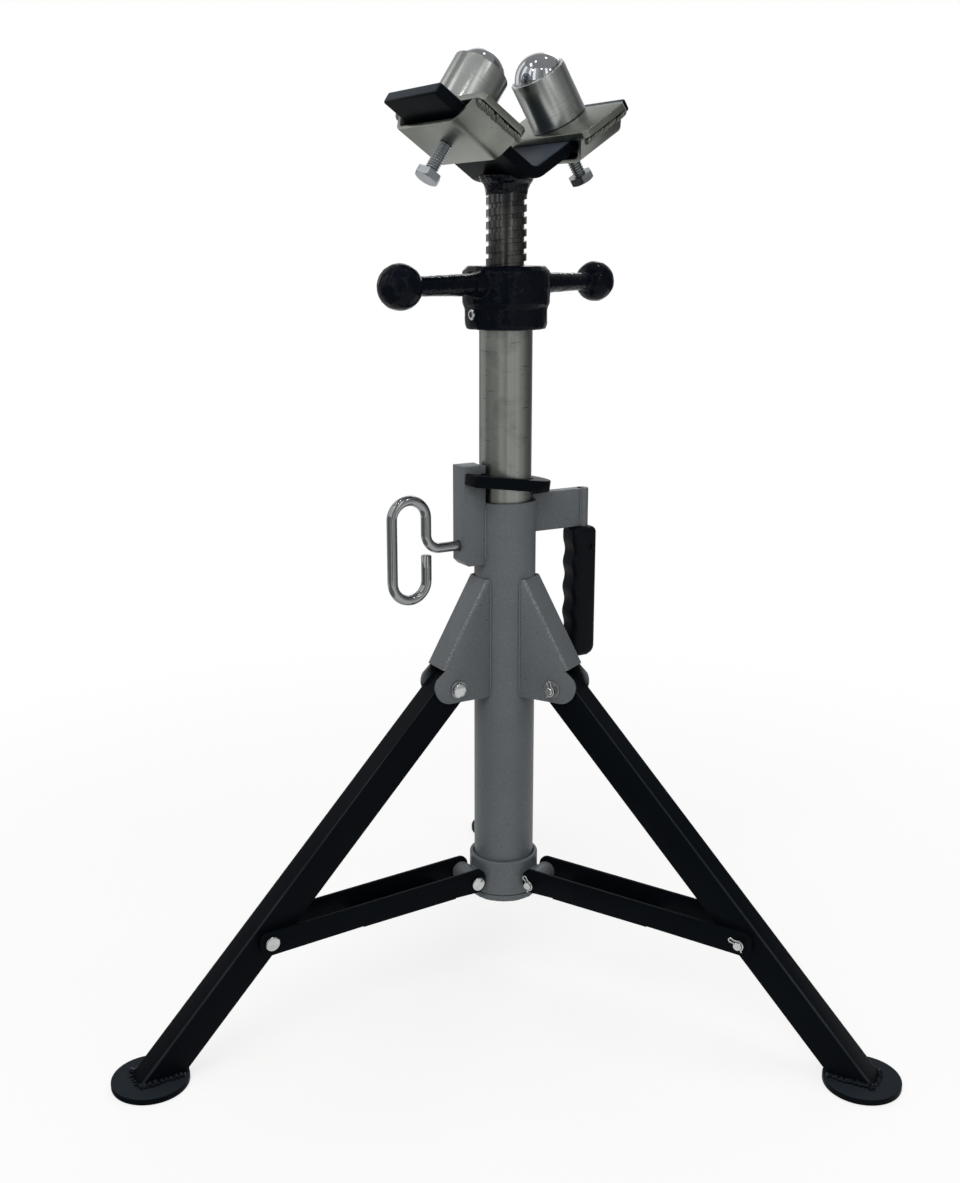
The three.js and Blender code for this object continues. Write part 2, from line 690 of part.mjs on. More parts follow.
function makeHubWasher(name) {
  const washer = ring(WASHER_R, pinHoleR, 0, WASHER_THICK, SMALL_ROUND * 2);
  washer.rotateX(-Math.PI / 2);
  const mesh = part(`hub_washer_${name}`, washer, brightSteel());
  mesh.position.set(HUB_POS, bracketHalf + SEAT, HUB_Z);
  return mesh;
}

// Hairpin clip: one leg through the tail of a pin, a loop, and one leg over the tail
function makeClip(name, y) {
  const over = PIN_R + CLIP_WIRE_R + CLIP_HOLE_PLAY;
  const route = [
    [CLIP_REACH, 0],
    [0, 0],
    [-CLIP_REACH, 0],
    [-CLIP_REACH - CLIP_LOOP, over / 2],
    [-CLIP_REACH, over + CLIP_WIRE_R],
    [-PIN_R, over + CLIP_WIRE_R / 2],
    [0, over + CLIP_WIRE_R / 2],
    [PIN_R, over],
    [CLIP_REACH, over + CLIP_WIRE_R],
  ];
  const path = new THREE.CatmullRomCurve3(route.map(([x, z]) => new THREE.Vector3(x, 0, z)));
  const mesh = part(name, wire(path, CLIP_WIRE_R, WIRE_SIDES, CLIP_STEPS), brightSteel());
  mesh.position.y = y;
  return mesh;
}

// Pin where the brace meets the leg: a headed end and a tail, each in its own flange of the brace
function makeBracePins(name) {
  const face = braceHalf + SEAT;
  const head = part(`brace_pin_head_${name}`, pinProfile(braceInnerHalf, face), brightSteel());
  const tailEnd = -braceHalf - PIN_TAIL;
  const tailRod = rod(PIN_R, tailEnd, -braceInnerHalf, SMALL_ROUND);
  tailRod.rotateX(-Math.PI / 2);
  const tail = part(
    `brace_pin_tail_${name}`,
    cut(tailRod, [clipHole(tailEnd + PIN_TAIL_HOLE)]),
    brightSteel(),
  );
  const group = new THREE.Group();
  group.position.x = braceLength;
  group.add(head, tail, makeClip(`brace_pin_clip_${name}`, tailEnd + PIN_TAIL_HOLE));
  return group;
}

function makeLegSet(name, azimuth) {
  const group = radialGroup(azimuth);
  const hub = new THREE.Group();
  const hubTail = -bracketHalf - PIN_TAIL;
  hub.position.set(HUB_POS, 0, HUB_Z);
  hub.add(makePin(`hub_pin_${name}`, hubTail, bracketHalf + WASHER_THICK + 2 * SEAT));
  hub.add(makeClip(`hub_pin_clip_${name}`, hubTail + PIN_TAIL_HOLE));
  const brace = new THREE.Group();
  const collarTail = -braceHalf - PIN_TAIL;
  brace.position.set(LUG_POS, 0, lugZ);
  brace.rotation.y = braceDip;
  brace.add(makeBrace(name), makeBracePins(name));
  brace.add(makePin(`collar_pin_${name}`, collarTail, braceHalf + SEAT));
  brace.add(makeClip(`collar_pin_clip_${name}`, collarTail + PIN_TAIL_HOLE));
  group.add(makeBracket(name), makeHubWasher(name), hub, makeLeg(name), makeFoot(name), brace);
  return group;
}

// Square thread: four corners of its section swept round a helix and capped past both ends
function threadSweep(bottom, top) {
  const section = [
    [SCREW_R, 0],
    [SCREW_R, SCREW_CREST],
    [SCREW_ROOT_R, SCREW_CREST + SCREW_FLANK],
    [SCREW_ROOT_R, SCREW_PITCH - SCREW_FLANK],
  ];
  const turns = Math.ceil((top - bottom) / SCREW_PITCH) + 3;
  const rows = turns * section.length + 1;
  const start = bottom - 2 * SCREW_PITCH;
  const positions = [];
  for (let row = 0; row < rows; row += 1) {
    const [radius, rise] = section[row % section.length];
    const turn = Math.floor(row / section.length);
    for (let side = 0; side < THREAD_SIDES; side += 1) {
      const angle = (side * 2 * Math.PI) / THREAD_SIDES;
      const z = start + (turn + side / THREAD_SIDES) * SCREW_PITCH + rise;
      positions.push(radius * Math.cos(angle), radius * Math.sin(angle), z);
    }
  }
  const at = (row, side) => row * THREAD_SIDES + side;
  const corners = [];
  const quad = (a, b, c, d) => corners.push(a, b, c, a, c, d);
  for (let row = 0; row < rows - 1; row += 1) {
    for (let side = 0; side < THREAD_SIDES - 1; side += 1) {
      quad(at(row, side), at(row, side + 1), at(row + 1, side + 1), at(row + 1, side));
    }
    if (row + section.length + 1 < rows) {
      const next = row + section.length;
      quad(at(row, THREAD_SIDES - 1), at(next, 0), at(next + 1, 0), at(row + 1, THREAD_SIDES - 1));
    }
  }
  const lowLoop = [];
  const highLoop = [];
  for (let side = 0; side < THREAD_SIDES; side += 1) {
    lowLoop.push(at(0, side));
    highLoop.push(at(rows - 1, side));
  }
  for (let step = section.length; step > 0; step -= 1) {
    lowLoop.push(at(step, 0));
  }
  for (let step = 1; step <= section.length - 1; step += 1) {
    highLoop.push(at(rows - 1 - step, THREAD_SIDES - 1));
  }
  highLoop.push(at(rows - 1 - section.length, THREAD_SIDES - 1));
  const lowCentre = positions.length / 3;
  positions.push(0, 0, start - SCREW_PITCH);
  const highCentre = positions.length / 3;
  positions.push(0, 0, start + (turns + 2) * SCREW_PITCH);
  lowLoop.forEach((corner, i) => corners.push(lowCentre, lowLoop[(i + 1) % lowLoop.length], corner));
  highLoop.forEach((corner, i) => corners.push(highCentre, corner, highLoop[(i + 1) % highLoop.length]));
  const geometry = new THREE.BufferGeometry();
  geometry.setAttribute('position', new THREE.Float32BufferAttribute(positions, 3));
  geometry.setIndex(corners);
  return geometry;
}

// The V head's section in x and z, from its sharp outer root, grown by an allowance underneath
function headSection(allowance) {
  const sin = Math.sin(rad(WING_ANGLE));
  const cos = Math.cos(rad(WING_ANGLE));
  const thick = WING_THICK + allowance;
  const drop = allowance / cos;
  const tipX = WING_LENGTH * cos;
  const tipZ = WING_LENGTH * sin;
  return outline([
    [0, -drop, WING_BEND_R + thick],
    [tipX + allowance * sin, tipZ - allowance * cos],
    [tipX - WING_THICK * sin, tipZ + WING_THICK * cos],
    [0, WING_THICK / cos, WING_BEND_R],
    [-tipX + WING_THICK * sin, tipZ + WING_THICK * cos],
    [-tipX - allowance * sin, tipZ - allowance * cos],
  ]);
}

function makeJackScrew() {
  const blankTop = HEAD_ROOT_Z + WING_THICK;
  const thread = toSolid(threadSweep(THREAD_BOTTOM, THREAD_TOP));
  const length = toSolid(rod(SCREW_R + OVERSHOOT, THREAD_BOTTOM, THREAD_TOP));
  const shank = toSolid(rod(SCREW_ROOT_R, SCREW_BOTTOM, THREAD_BOTTOM + SCREW_FLANK));
  const neck = toSolid(rod(SCREW_R, THREAD_TOP - SCREW_FLANK, blankTop));
  const head = sidePlate(headSection(SEAT), WING_WIDTH);
  head.rotateY(rad(HEAD_LEAN));
  head.rotateZ(rad(HEAD_AZIMUTH));
  head.translate(0, 0, HEAD_ROOT_Z);
  const screw = thread.intersect(length).add(shank).add(neck).subtract(toSolid(head));
  return part('jack_screw', toGeometry(screw), oiledSteel());
}

// Nut with two cast arms: its skirt turns on the mast, its bore carries the screw
function makeJackNut() {
  const pocketTop = MAST_TOP + 2 * SEAT + THRUST_THICK;
  const body = turned([
    [0, NUT_BOTTOM],
    [NUT_SKIRT_R, NUT_BOTTOM],
    [NUT_BODY_R, NUT_WAIST_Z],
    [NUT_BODY_R, NUT_TOP - NUT_SHOULDER],
    [NUT_BODY_R - NUT_SHOULDER, NUT_TOP],
    [0, NUT_TOP],
  ]);
  const pieces = [body];
  for (const azimuth of [TOMMY_AZIMUTH, TOMMY_AZIMUTH + 180]) {
    const armProfile = [
      [0, 0],
      [TOMMY_ROOT_R, 0],
      [TOMMY_ROOT_R, TOMMY_ROOT_START],
      [TOMMY_ARM_R, TOMMY_ROOT_END],
      [TOMMY_TIP_R, TOMMY_HALF],
      [0, TOMMY_HALF],
    ];
    const arm = turned(armProfile, SMALL_ROUND);
    arm.rotateY(Math.PI / 2);
    arm.translate(0, 0, TOMMY_Z);
    const knob = new THREE.SphereGeometry(TOMMY_BALL_R, BALL_SIDES, BALL_ROWS);
    knob.translate(TOMMY_HALF, 0, TOMMY_Z);
    pieces.push(faceAzimuth(arm, azimuth), faceAzimuth(knob, azimuth));
  }
  const screwBore = rod(SCREW_R + RUNNING, NUT_BOTTOM - OVERSHOOT, NUT_TOP + OVERSHOOT);
  const pocket = rod(MAST_R + RUNNING, NUT_BOTTOM - OVERSHOOT, pocketTop);
  const screwHole = radialBar(SET_SCREW_R + SEAT, 0, NUT_BODY_R + OVERSHOOT, SET_SCREW_Z);
  const bores = [screwBore, pocket, faceAzimuth(screwHole, SET_SCREW_AZIMUTH)];
  return part('jack_nut', cut(join(pieces), bores), glossBlack());
}

function makeThrustWasher() {
  const bottom = MAST_TOP + SEAT;
  return part('thrust_washer', ring(MAST_R, SCREW_R + RUNNING, bottom, bottom + THRUST_THICK), turnedSteel());
}

// Socket set screw whose tip runs on the mast and keeps the nut from lifting off
function makeSetScrew() {
  const tip = MAST_R + SEAT;
  const screw = radialBar(SET_SCREW_R, tip, NUT_SKIRT_R, SET_SCREW_Z);
  const socketFloor = NUT_SKIRT_R - SET_SCREW_SOCKET_DEPTH;
  const socket = radialBar(SET_SCREW_SOCKET_R, socketFloor, NUT_SKIRT_R + OVERSHOOT, SET_SCREW_Z, HEX);
  const group = radialGroup(SET_SCREW_AZIMUTH);
  group.add(part('nut_set_screw', cut(screw, [socket]), turnedSteel()));
  return group;
}

function makeSaddlePlate(name) {
  const endX = SADDLE_LENGTH / 2;
  const endY = SADDLE_WIDTH / 2;
  const plan = new THREE.Shape();
  plan.moveTo(endX, -endY + SADDLE_CORNER);
  plan.lineTo(endX, endY - SADDLE_CORNER);
  plan.lineTo(endX - SADDLE_CORNER, endY);
  plan.lineTo(-endX + SADDLE_CORNER, endY);
  plan.lineTo(-endX, endY - SADDLE_CORNER);
  plan.lineTo(-endX, -endY + SADDLE_CORNER);
  plan.lineTo(-endX + SADDLE_CORNER, -endY);
  plan.lineTo(endX - SADDLE_CORNER, -endY);
  const mesh = part(`saddle_plate_${name}`, planPlate(plan, SADDLE_PLATE), zincPlate());
  mesh.position.z = WING_THICK + SEAT + SADDLE_PLATE / 2;
  return mesh;
}

// Strap: a plate bent round the underside of the wing and welded to the saddle plate
function makeSaddleStrap(name) {
  const flare = Math.atan2(STRAP_TOP_HALF - STRAP_FLOOR_HALF, WING_THICK + STRAP_DROP);
  const across = STRAP_WALL / Math.cos(flare);
  const floorIn = STRAP_FLOOR_HALF - STRAP_WALL * Math.tan(Math.PI / 4 - flare / 2);
  const section = outline([
    [-STRAP_FLOOR_HALF, -STRAP_DROP],
    [STRAP_FLOOR_HALF, -STRAP_DROP],
    [STRAP_TOP_HALF, WING_THICK],
    [STRAP_TOP_HALF - across, WING_THICK],
    [floorIn, STRAP_WALL - STRAP_DROP],
    [-floorIn, STRAP_WALL - STRAP_DROP],
    [-STRAP_TOP_HALF + across, WING_THICK],
    [-STRAP_TOP_HALF, WING_THICK],
  ]);
  const hole = rod(BOLT_R + PIN_PLAY, -STRAP_DROP - OVERSHOOT, 0, SMALL_ROUND);
  return part(`saddle_strap_${name}`, cut(crossBar(section, SADDLE_LENGTH), [hole]), zincPlate());
}

function makeClampBolt(name, shankLength) {
  const headTop = -STRAP_DROP - shankLength;
  const shank = rod(BOLT_R, headTop - SEAT, -SEAT, SMALL_ROUND);
  const head = rod(BOLT_HEAD_R, headTop - BOLT_HEAD_THICK, headTop, HEX);
  return part(`clamp_bolt_${name}`, join([shank, head]), zincPlate());
}

// Turned cup with a spherical seat that closes in over the ball
function makeBallHousing(name) {
  const bottom = WING_THICK + SADDLE_PLATE + 2 * SEAT;
  const rim = bottom + HOUSING_HEIGHT;
  const seatR = BALL_R + BALL_PLAY;
  const centre = rim - BALL_SINK;
  const profile = [
    [0, bottom],
    [HOUSING_R, bottom],
    [HOUSING_R, rim - HOUSING_EDGE],
    [HOUSING_R - HOUSING_EDGE, rim],
  ];
  const rimAngle = Math.asin(BALL_SINK / seatR);
  for (let i = 0; i <= SEAT_ROWS; i += 1) {
    const angle = THREE.MathUtils.lerp(rimAngle, -Math.PI / 2, i / SEAT_ROWS);
    const radius = i === SEAT_ROWS ? 0 : seatR * Math.cos(angle);
    profile.push([radius, centre + seatR * Math.sin(angle)]);
  }
  const mesh = part(`ball_housing_${name}`, turned(profile, SEAT_SIDES), turnedSteel());
  mesh.position.x = HOUSING_OFFSET;
  return mesh;
}

function makeBall(name) {
  const ball = new THREE.SphereGeometry(BALL_R, BALL_SIDES, BALL_ROWS);
  const mesh = part(`transfer_ball_${name}`, ball, chromeBall());
  const rim = WING_THICK + SADDLE_PLATE + 2 * SEAT + HOUSING_HEIGHT;
  mesh.position.set(HOUSING_OFFSET, 0, rim - BALL_SINK);
  return mesh;
}

function makeHead() {
  const azimuth = new THREE.Group();
  azimuth.position.z = HEAD_ROOT_Z;
  azimuth.rotation.z = rad(HEAD_AZIMUTH);
  const head = new THREE.Group();
  head.rotation.y = rad(HEAD_LEAN);
  head.add(part('v_head', sidePlate(headSection(0), WING_WIDTH), blackPaint()));
  SADDLE_NAMES.forEach((name, i) => {
    const side = new THREE.Group();
    side.rotation.z = rad(SADDLE_TURNS[i]);
    const wing = new THREE.Group();
    wing.rotation.y = -rad(WING_ANGLE);
    const saddle = new THREE.Group();
    saddle.position.x = SADDLE_POSITIONS[i];
    saddle.add(makeSaddlePlate(name), makeSaddleStrap(name), makeClampBolt(name, BOLT_SHANKS[i]));
    saddle.add(makeBallHousing(name), makeBall(name));
    wing.add(saddle);
    side.add(wing);
    head.add(side);
  });
  azimuth.add(head);
  return azimuth;
}

// The whole stand, shifted so that the origin is under the middle of its three feet
const stand = new THREE.Group();
stand.position.y = -FOOT_CIRCLE_R / 4;
stand.add(makeOuterTube(), makeBaseFlange(), makePinBoss(), makeHandle());
stand.add(makeMast(), makeLockingPin(), makeFrictionPlate(), makeCollar());
LEG_NAMES.forEach((name, i) => stand.add(makeLegSet(name, LEG_AZIMUTHS[i])));
stand.add(makeThrustWasher(), makeJackNut(), makeSetScrew(), makeJackScrew(), makeHead());

export default stand;
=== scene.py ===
import bpy
import math
import random
from mathutils import Matrix, Vector


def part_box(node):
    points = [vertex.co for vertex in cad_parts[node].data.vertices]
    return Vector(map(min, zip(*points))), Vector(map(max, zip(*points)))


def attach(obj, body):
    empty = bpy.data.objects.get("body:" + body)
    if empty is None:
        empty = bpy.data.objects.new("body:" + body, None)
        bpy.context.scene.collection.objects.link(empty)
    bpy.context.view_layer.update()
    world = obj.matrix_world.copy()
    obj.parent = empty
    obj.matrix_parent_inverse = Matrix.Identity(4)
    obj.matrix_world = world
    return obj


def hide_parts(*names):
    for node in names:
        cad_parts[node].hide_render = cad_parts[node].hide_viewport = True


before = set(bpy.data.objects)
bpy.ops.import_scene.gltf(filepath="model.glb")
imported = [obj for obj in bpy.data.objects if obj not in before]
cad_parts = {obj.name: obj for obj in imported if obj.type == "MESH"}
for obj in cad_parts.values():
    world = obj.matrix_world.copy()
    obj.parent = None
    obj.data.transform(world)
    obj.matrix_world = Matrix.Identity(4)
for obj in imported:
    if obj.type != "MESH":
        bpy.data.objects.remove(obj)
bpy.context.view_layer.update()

# Folding tripod pipe stand. Every size below is in millimetres and turned to metres by mm.
mm = 0.001
fineTurn = 96  # steps round a large turned piece
smallTurn = 40  # steps round a pin or a washer
flangeLow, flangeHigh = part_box("base_flange")
columnFoot = Vector(((flangeLow.x + flangeHigh.x) / 2, (flangeLow.y + flangeHigh.y) / 2, 0))
legSides = {"left": -60, "right": 60, "rear": 180}  # degrees round the column from the front


# ---- small tools for modelling
def pickUp(piece):
    bpy.ops.object.select_all(action="DESELECT")
    piece.select_set(True)
    bpy.context.view_layer.objects.active = piece


def tracePath(name, points):
    # a plane drawn together to one point, which is then extruded from point to point
    bpy.ops.object.select_all(action="DESELECT")
    bpy.ops.mesh.primitive_plane_add(size=mm)
    piece = bpy.context.object
    piece.name = piece.data.name = name
    bpy.ops.object.mode_set(mode="EDIT")
    bpy.ops.mesh.select_mode(type="VERT")
    bpy.ops.mesh.select_all(action="SELECT")
    bpy.ops.mesh.merge(type="CENTER")
    bpy.ops.transform.translate(value=Vector(points[0]) * mm)
    for before, after in zip(points, points[1:]):
        step = (Vector(after) - Vector(before)) * mm
        bpy.ops.mesh.extrude_vertices_move(TRANSFORM_OT_translate={"value": step})
    bpy.ops.mesh.select_all(action="SELECT")
    return piece


def closeUp():
    bpy.ops.mesh.select_all(action="SELECT")
    bpy.ops.mesh.remove_doubles(threshold=0.002 * mm)
    bpy.ops.mesh.normals_make_consistent(inside=False)
    bpy.ops.object.mode_set(mode="OBJECT")


def turnPiece(name, profile, steps=fineTurn):
    # a profile of radius and height spun round the upright axis
    piece = tracePath(name, [(radius, 0, height) for radius, height in profile])
    bpy.ops.mesh.spin(steps=steps, angle=math.tau, center=(0, 0, 0), axis=(0, 0, 1))
    closeUp()
    return piece


def platePiece(name, points, pull):
    # a closed outline filled and pulled out to a plate
    piece = tracePath(name, points)
    bpy.ops.mesh.edge_face_add()
    bpy.ops.mesh.extrude_region_move(TRANSFORM_OT_translate={"value": Vector(pull) * mm})
    closeUp()
    return piece


def barPiece(name, radius, start, end, steps=smallTurn):
    # a round bar from point to point
    start, end = Vector(start), Vector(end)
    piece = turnPiece(name, [(0, 0), (radius, 0), (radius, (end - start).length), (0, (end - start).length)], steps)
    place(piece, Matrix.Translation(start * mm) @ (end - start).to_track_quat("Z", "Y").to_matrix().to_4x4())
    return piece


def wirePiece(name, points, radii):
    # a traced path turned into a round wire; the radii make it swell
    piece = tracePath(name, points)
    bpy.ops.object.mode_set(mode="OBJECT")
    pickUp(piece)
    bpy.ops.object.convert(target="CURVE")
    piece = bpy.context.object
    piece.data.dimensions = "3D"
    piece.data.bevel_depth = mm
    piece.data.bevel_resolution = 4
    piece.data.use_fill_caps = True
    for spot, radius in zip(piece.data.splines[0].points, radii):
        spot.radius = radius
    bpy.ops.object.convert(target="MESH")
    piece = bpy.context.object
    bpy.ops.object.mode_set(mode="EDIT")
    closeUp()
    return piece


def weldBead(name, start, end, radius, seed, ripple=3.0):
    # a run of weld: the wire swells and wanders at each ripple
    chance = random.Random(seed)
    start, end = Vector(start), Vector(end)
    count = max(6, round((end - start).length / ripple * 3))
    points, radii = [], []
    for i in range(count + 1):
        wander = Vector([chance.uniform(-0.07, 0.07) * radius for axis in range(3)])
        points.append(start.lerp(end, i / count) + wander)
        tail = min(1, 0.45 + 2.2 * min(i, count - i) / count * 3)
        radii.append(radius * tail * (0.86 + 0.16 * (i % 3 == 1) + chance.uniform(-0.06, 0.06)))
    return wirePiece(name, points, radii)


def heavyBead(name, start, end, radius, seed, pitch, voxel=0.55, flat=0.6, lean=34):
    # a heavy run of weld: flat drops that lean on each other, melted into one
    chance = random.Random(seed)
    start, end = Vector(start), Vector(end)
    aim = (end - start).to_track_quat("Z", "Y").to_matrix().to_4x4()
    drop = turnPiece(name, [(abs(x), z * flat) for x, z in arc(0, 0, radius, -90, 90, 10)], 20)
    count = round((end - start).length / pitch)
    drops = []
    for i in range(count + 1):
        wander = Vector([chance.uniform(-0.12, 0.12) * radius for axis in range(3)])
        spot = Matrix.Translation((start.lerp(end, i / count) + wander) * mm) @ aim @ turn("X", lean)
        drops.append(place(copyPiece(drop, name), spot @ Matrix.Scale(chance.uniform(0.85, 1.1), 4)))
    bpy.data.objects.remove(drop)
    run = joinPieces(drops[0], drops[1:])
    change(run, "REMESH", mode="VOXEL", voxel_size=voxel * mm)
    return change(run, "SMOOTH", factor=0.5, iterations=3)


def markBends(piece, lines, reach):
    # writes how near each face lies to a bend line, for the thin paint and the painted highlight there
    wear = piece.data.attributes.new("wear", "FLOAT", "FACE")
    for i, face in enumerate(piece.data.polygons):
        spot = face.center / mm
        near = min((spot - start - along * max(0, min(1, (spot - start).dot(along) / along.length_squared))).length
                   for start, along in lines)
        wear.data[i].value = max(0, min(1, (reach - near) / (0.55 * reach)))


def change(piece, kind, **settings):
    # one modifier, set and applied
    pickUp(piece)
    bpy.ops.object.modifier_add(type=kind)
    modifier = piece.modifiers[-1]
    for key, value in settings.items():
        setattr(modifier, key, value)
    bpy.ops.object.modifier_apply(modifier=modifier.name)
    return piece


def cutWith(piece, tool, operation="DIFFERENCE"):
    change(piece, "BOOLEAN", object=tool, operation=operation, solver="EXACT")
    bpy.data.objects.remove(tool)
    return piece


def breakEdges(piece, width, segments=3, angle=32):
    return change(piece, "BEVEL", width=width * mm, segments=segments, limit_method="ANGLE",
                  angle_limit=math.radians(angle), use_clamp_overlap=True, miter_outer="MITER_ARC")


def joinPieces(piece, others):
    pickUp(piece)
    for other in others:
        other.select_set(True)
    bpy.ops.object.join()
    return piece


def shift(x, y, z):
    return Matrix.Translation(Vector((x, y, z)) * mm)


def turn(axis, degrees):
    return Matrix.Rotation(math.radians(degrees), 4, axis)


def around(azimuth):
    # pieces on the column are modelled with +X outwards, then turned to their side
    return Matrix.Translation(columnFoot) @ turn("Z", azimuth - 90)


def place(piece, spot):
    pickUp(piece)
    piece.matrix_world = spot
    bpy.ops.object.transform_apply(location=True, rotation=True, scale=True)
    return piece


def copyPiece(piece, name):
    pickUp(piece)
    bpy.ops.object.duplicate()
    twin = bpy.context.object
    twin.name = twin.data.name = name
    return twin


def arc(x, z, radius, start, end, steps):
    angles = [math.radians(start + (end - start) * i / steps) for i in range(steps + 1)]
    return [(x + radius * math.cos(a), z + radius * math.sin(a)) for a in angles]


def rounded(corners, steps=6):
    # an outline of x, z and corner radius, with each radius drawn as an arc
    points = []
    for i, (x, z, radius) in enumerate(corners):
        corner = Vector((x, z))
        back = (Vector(corners[i - 1][:2]) - corner).normalized()
        ahead = (Vector(corners[(i + 1) % len(corners)][:2]) - corner).normalized()
        if radius == 0:
            points.append((x, z))
            continue
        half = back.angle(ahead) / 2
        centre = corner + (back + ahead).normalized() * radius / math.sin(half)
        start = corner + back * radius / math.tan(half) - centre
        end = corner + ahead * radius / math.tan(half) - centre
        sweep = start.angle_signed(end)
        for k in range(steps + 1):
            a = -sweep * k / steps
            points.append((centre.x + start.x * math.cos(a) - start.y * math.sin(a),
                           centre.y + start.x * math.sin(a) + start.y * math.cos(a)))
    return points


def keepFaces(piece, keep):
    # deletes each face that isn't kept, by its middle and its normal
    pickUp(piece)
    bpy.ops.object.mode_set(mode="EDIT")
    bpy.ops.mesh.select_mode(type="FACE")
    bpy.ops.mesh.select_all(action="DESELECT")
    bpy.ops.object.mode_set(mode="OBJECT")
    for face in piece.data.polygons:
        face.select = not keep(face.center / mm, face.normal)
    bpy.ops.object.mode_set(mode="EDIT")
    bpy.ops.mesh.delete(type="FACE")
    bpy.ops.object.mode_set(mode="OBJECT")


def bendEdges(piece, wanted, radius, segments=5):
    # rounds the picked edges, as a press brake leaves them
    pickUp(piece)
    bpy.ops.object.mode_set(mode="EDIT")
    bpy.ops.mesh.select_mode(type="EDGE")
    bpy.ops.mesh.select_all(action="DESELECT")
    bpy.ops.object.mode_set(mode="OBJECT")
    spots = [v.co / mm for v in piece.data.vertices]
    for edge in piece.data.edges:
        edge.select = wanted(spots[edge.vertices[0]], spots[edge.vertices[1]])
    bpy.ops.object.mode_set(mode="EDIT")
    bpy.ops.mesh.bevel(offset=radius * mm, offset_type="OFFSET", segments=segments, profile=0.5, affect="EDGES")
    bpy.ops.object.mode_set(mode="OBJECT")


def markDustAndTopLight(piece, share):
    # writes how far each face looks up, for the dust that settles there and the painted top light
    dust = piece.data.attributes.new("dust", "FLOAT", "FACE")
    for i, face in enumerate(piece.data.polygons):
        dust.data[i].value = share * max(0, min(1, 1.6 * face.normal.z - 0.25))


def handOver(piece, finish, body, nodes=(), angle=38):
    pickUp(piece)
    bpy.ops.object.shade_smooth_by_angle(angle=math.radians(angle))
    piece.data.materials.clear()
    piece.data.materials.append(finish)
    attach(piece, body)
    if nodes:
        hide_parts(*nodes)
    return piece


# ---- finishes
def linear(code):
    parts = [int(code[i:i + 2], 16) / 255 for i in (1, 3, 5)]
    return [c / 12.92 if c <= 0.04045 else ((c + 0.055) / 1.055) ** 2.4 for c in parts] + [1]


def perGrain(size):
    # the scale of a pattern whose grains are this many millimetres wide
    return 1 / (size * mm)


def newFinish(name, **sockets):
    finish = bpy.data.materials.new(name)
    finish.use_nodes = True
    shader = finish.node_tree.nodes["Principled BSDF"]
    for socket, value in sockets.items():
        shader.inputs[socket.replace("_", " ")].default_value = value
    return finish, shader


def addNode(finish, kind, settings, links={}):
    node = finish.node_tree.nodes.new(kind)
    for key, value in settings.items():
        if isinstance(key, int) or key in node.inputs:
            node.inputs[key].default_value = value
        else:
            setattr(node, key, value)
    for key, source in links.items():
        finish.node_tree.links.new(source, node.inputs[key])
    return node


def linkTo(finish, shader, socket, source):
    finish.node_tree.links.new(source, shader.inputs[socket])


# Grey enamel, sprayed and air dried: satin, a fine orange peel, dry-spray specks, dark pin holes, paler on bends from
# thin paint and a painted highlight;
# the inside of the folded brackets is painted near black as painted shade
enamel = {"dark": "#53585b", "pale": "#5e6366", "speck": "#777c7f", "thin": "#8f9496", "hole": "#2b2e31", "scale": "#0d0f11", "cloud": 45,
          "peel": 2.2, "grit": 1.5, "pits": 15, "pit": 0.55}
greyEnamel, shader = newFinish("grey_enamel_sprayed", IOR=1.5, Specular_IOR_Level=0.3)
spots = addNode(greyEnamel, "ShaderNodeTexCoord", {}).outputs["Object"]
cloud = addNode(greyEnamel, "ShaderNodeTexNoise", {"Scale": perGrain(enamel["cloud"]), "Detail": 3.0}, {"Vector": spots})
grit = addNode(greyEnamel, "ShaderNodeTexNoise", {"Scale": perGrain(enamel["grit"]), "Detail": 1.0}, {"Vector": spots})
peel = addNode(greyEnamel, "ShaderNodeTexNoise", {"Scale": perGrain(enamel["peel"]), "Detail": 2.0}, {"Vector": spots})
pits = addNode(greyEnamel, "ShaderNodeTexVoronoi", {"Scale": perGrain(enamel["pits"])}, {"Vector": spots})
# paler on the bends: thin paint and a painted highlight on the bend radius
bend = addNode(greyEnamel, "ShaderNodeAttribute", {"attribute_name": "wear"})
base = addNode(greyEnamel, "ShaderNodeMix", {"data_type": "RGBA", 6: linear(enamel["dark"]), 7: linear(enamel["pale"])},
               {0: cloud.outputs["Fac"]})
fleck = addNode(greyEnamel, "ShaderNodeMapRange", {"From Min": 0.54, "From Max": 0.78, "To Max": 0.4}, {"Value": grit.outputs["Fac"]})
flecked = addNode(greyEnamel, "ShaderNodeMix", {"data_type": "RGBA", 7: linear(enamel["speck"])},
                  {0: fleck.outputs["Result"], 6: base.outputs[2]})
broken = addNode(greyEnamel, "ShaderNodeMapRange", {"From Min": 0.46, "From Max": 0.62, "To Max": 0.8}, {"Value": grit.outputs["Fac"]})
thin = addNode(greyEnamel, "ShaderNodeMath", {"operation": "MULTIPLY"}, {0: bend.outputs["Fac"], 1: broken.outputs["Result"]})
thinnedAndHighlit = addNode(greyEnamel, "ShaderNodeMix", {"data_type": "RGBA", 7: linear(enamel["thin"])},
                  {0: thin.outputs[0], 6: flecked.outputs[2]})
pitEdge = enamel["pit"] / enamel["pits"]
hole = addNode(greyEnamel, "ShaderNodeMapRange", {"From Min": pitEdge, "From Max": pitEdge * 1.7, "To Min": 0.8, "To Max": 0.0},
               {"Value": pits.outputs["Distance"]})
pitted = addNode(greyEnamel, "ShaderNodeMix", {"data_type": "RGBA", 7: linear(enamel["hole"])},
                 {0: hole.outputs["Result"], 6: thinnedAndHighlit.outputs[2]})
# near black where the attribute marks the inside of the brackets: painted shade
inner = addNode(greyEnamel, "ShaderNodeAttribute", {"attribute_name": "inside"})
coat = addNode(greyEnamel, "ShaderNodeMix", {"data_type": "RGBA", 7: linear(enamel["scale"])},
               {0: inner.outputs["Fac"], 6: pitted.outputs[2]})
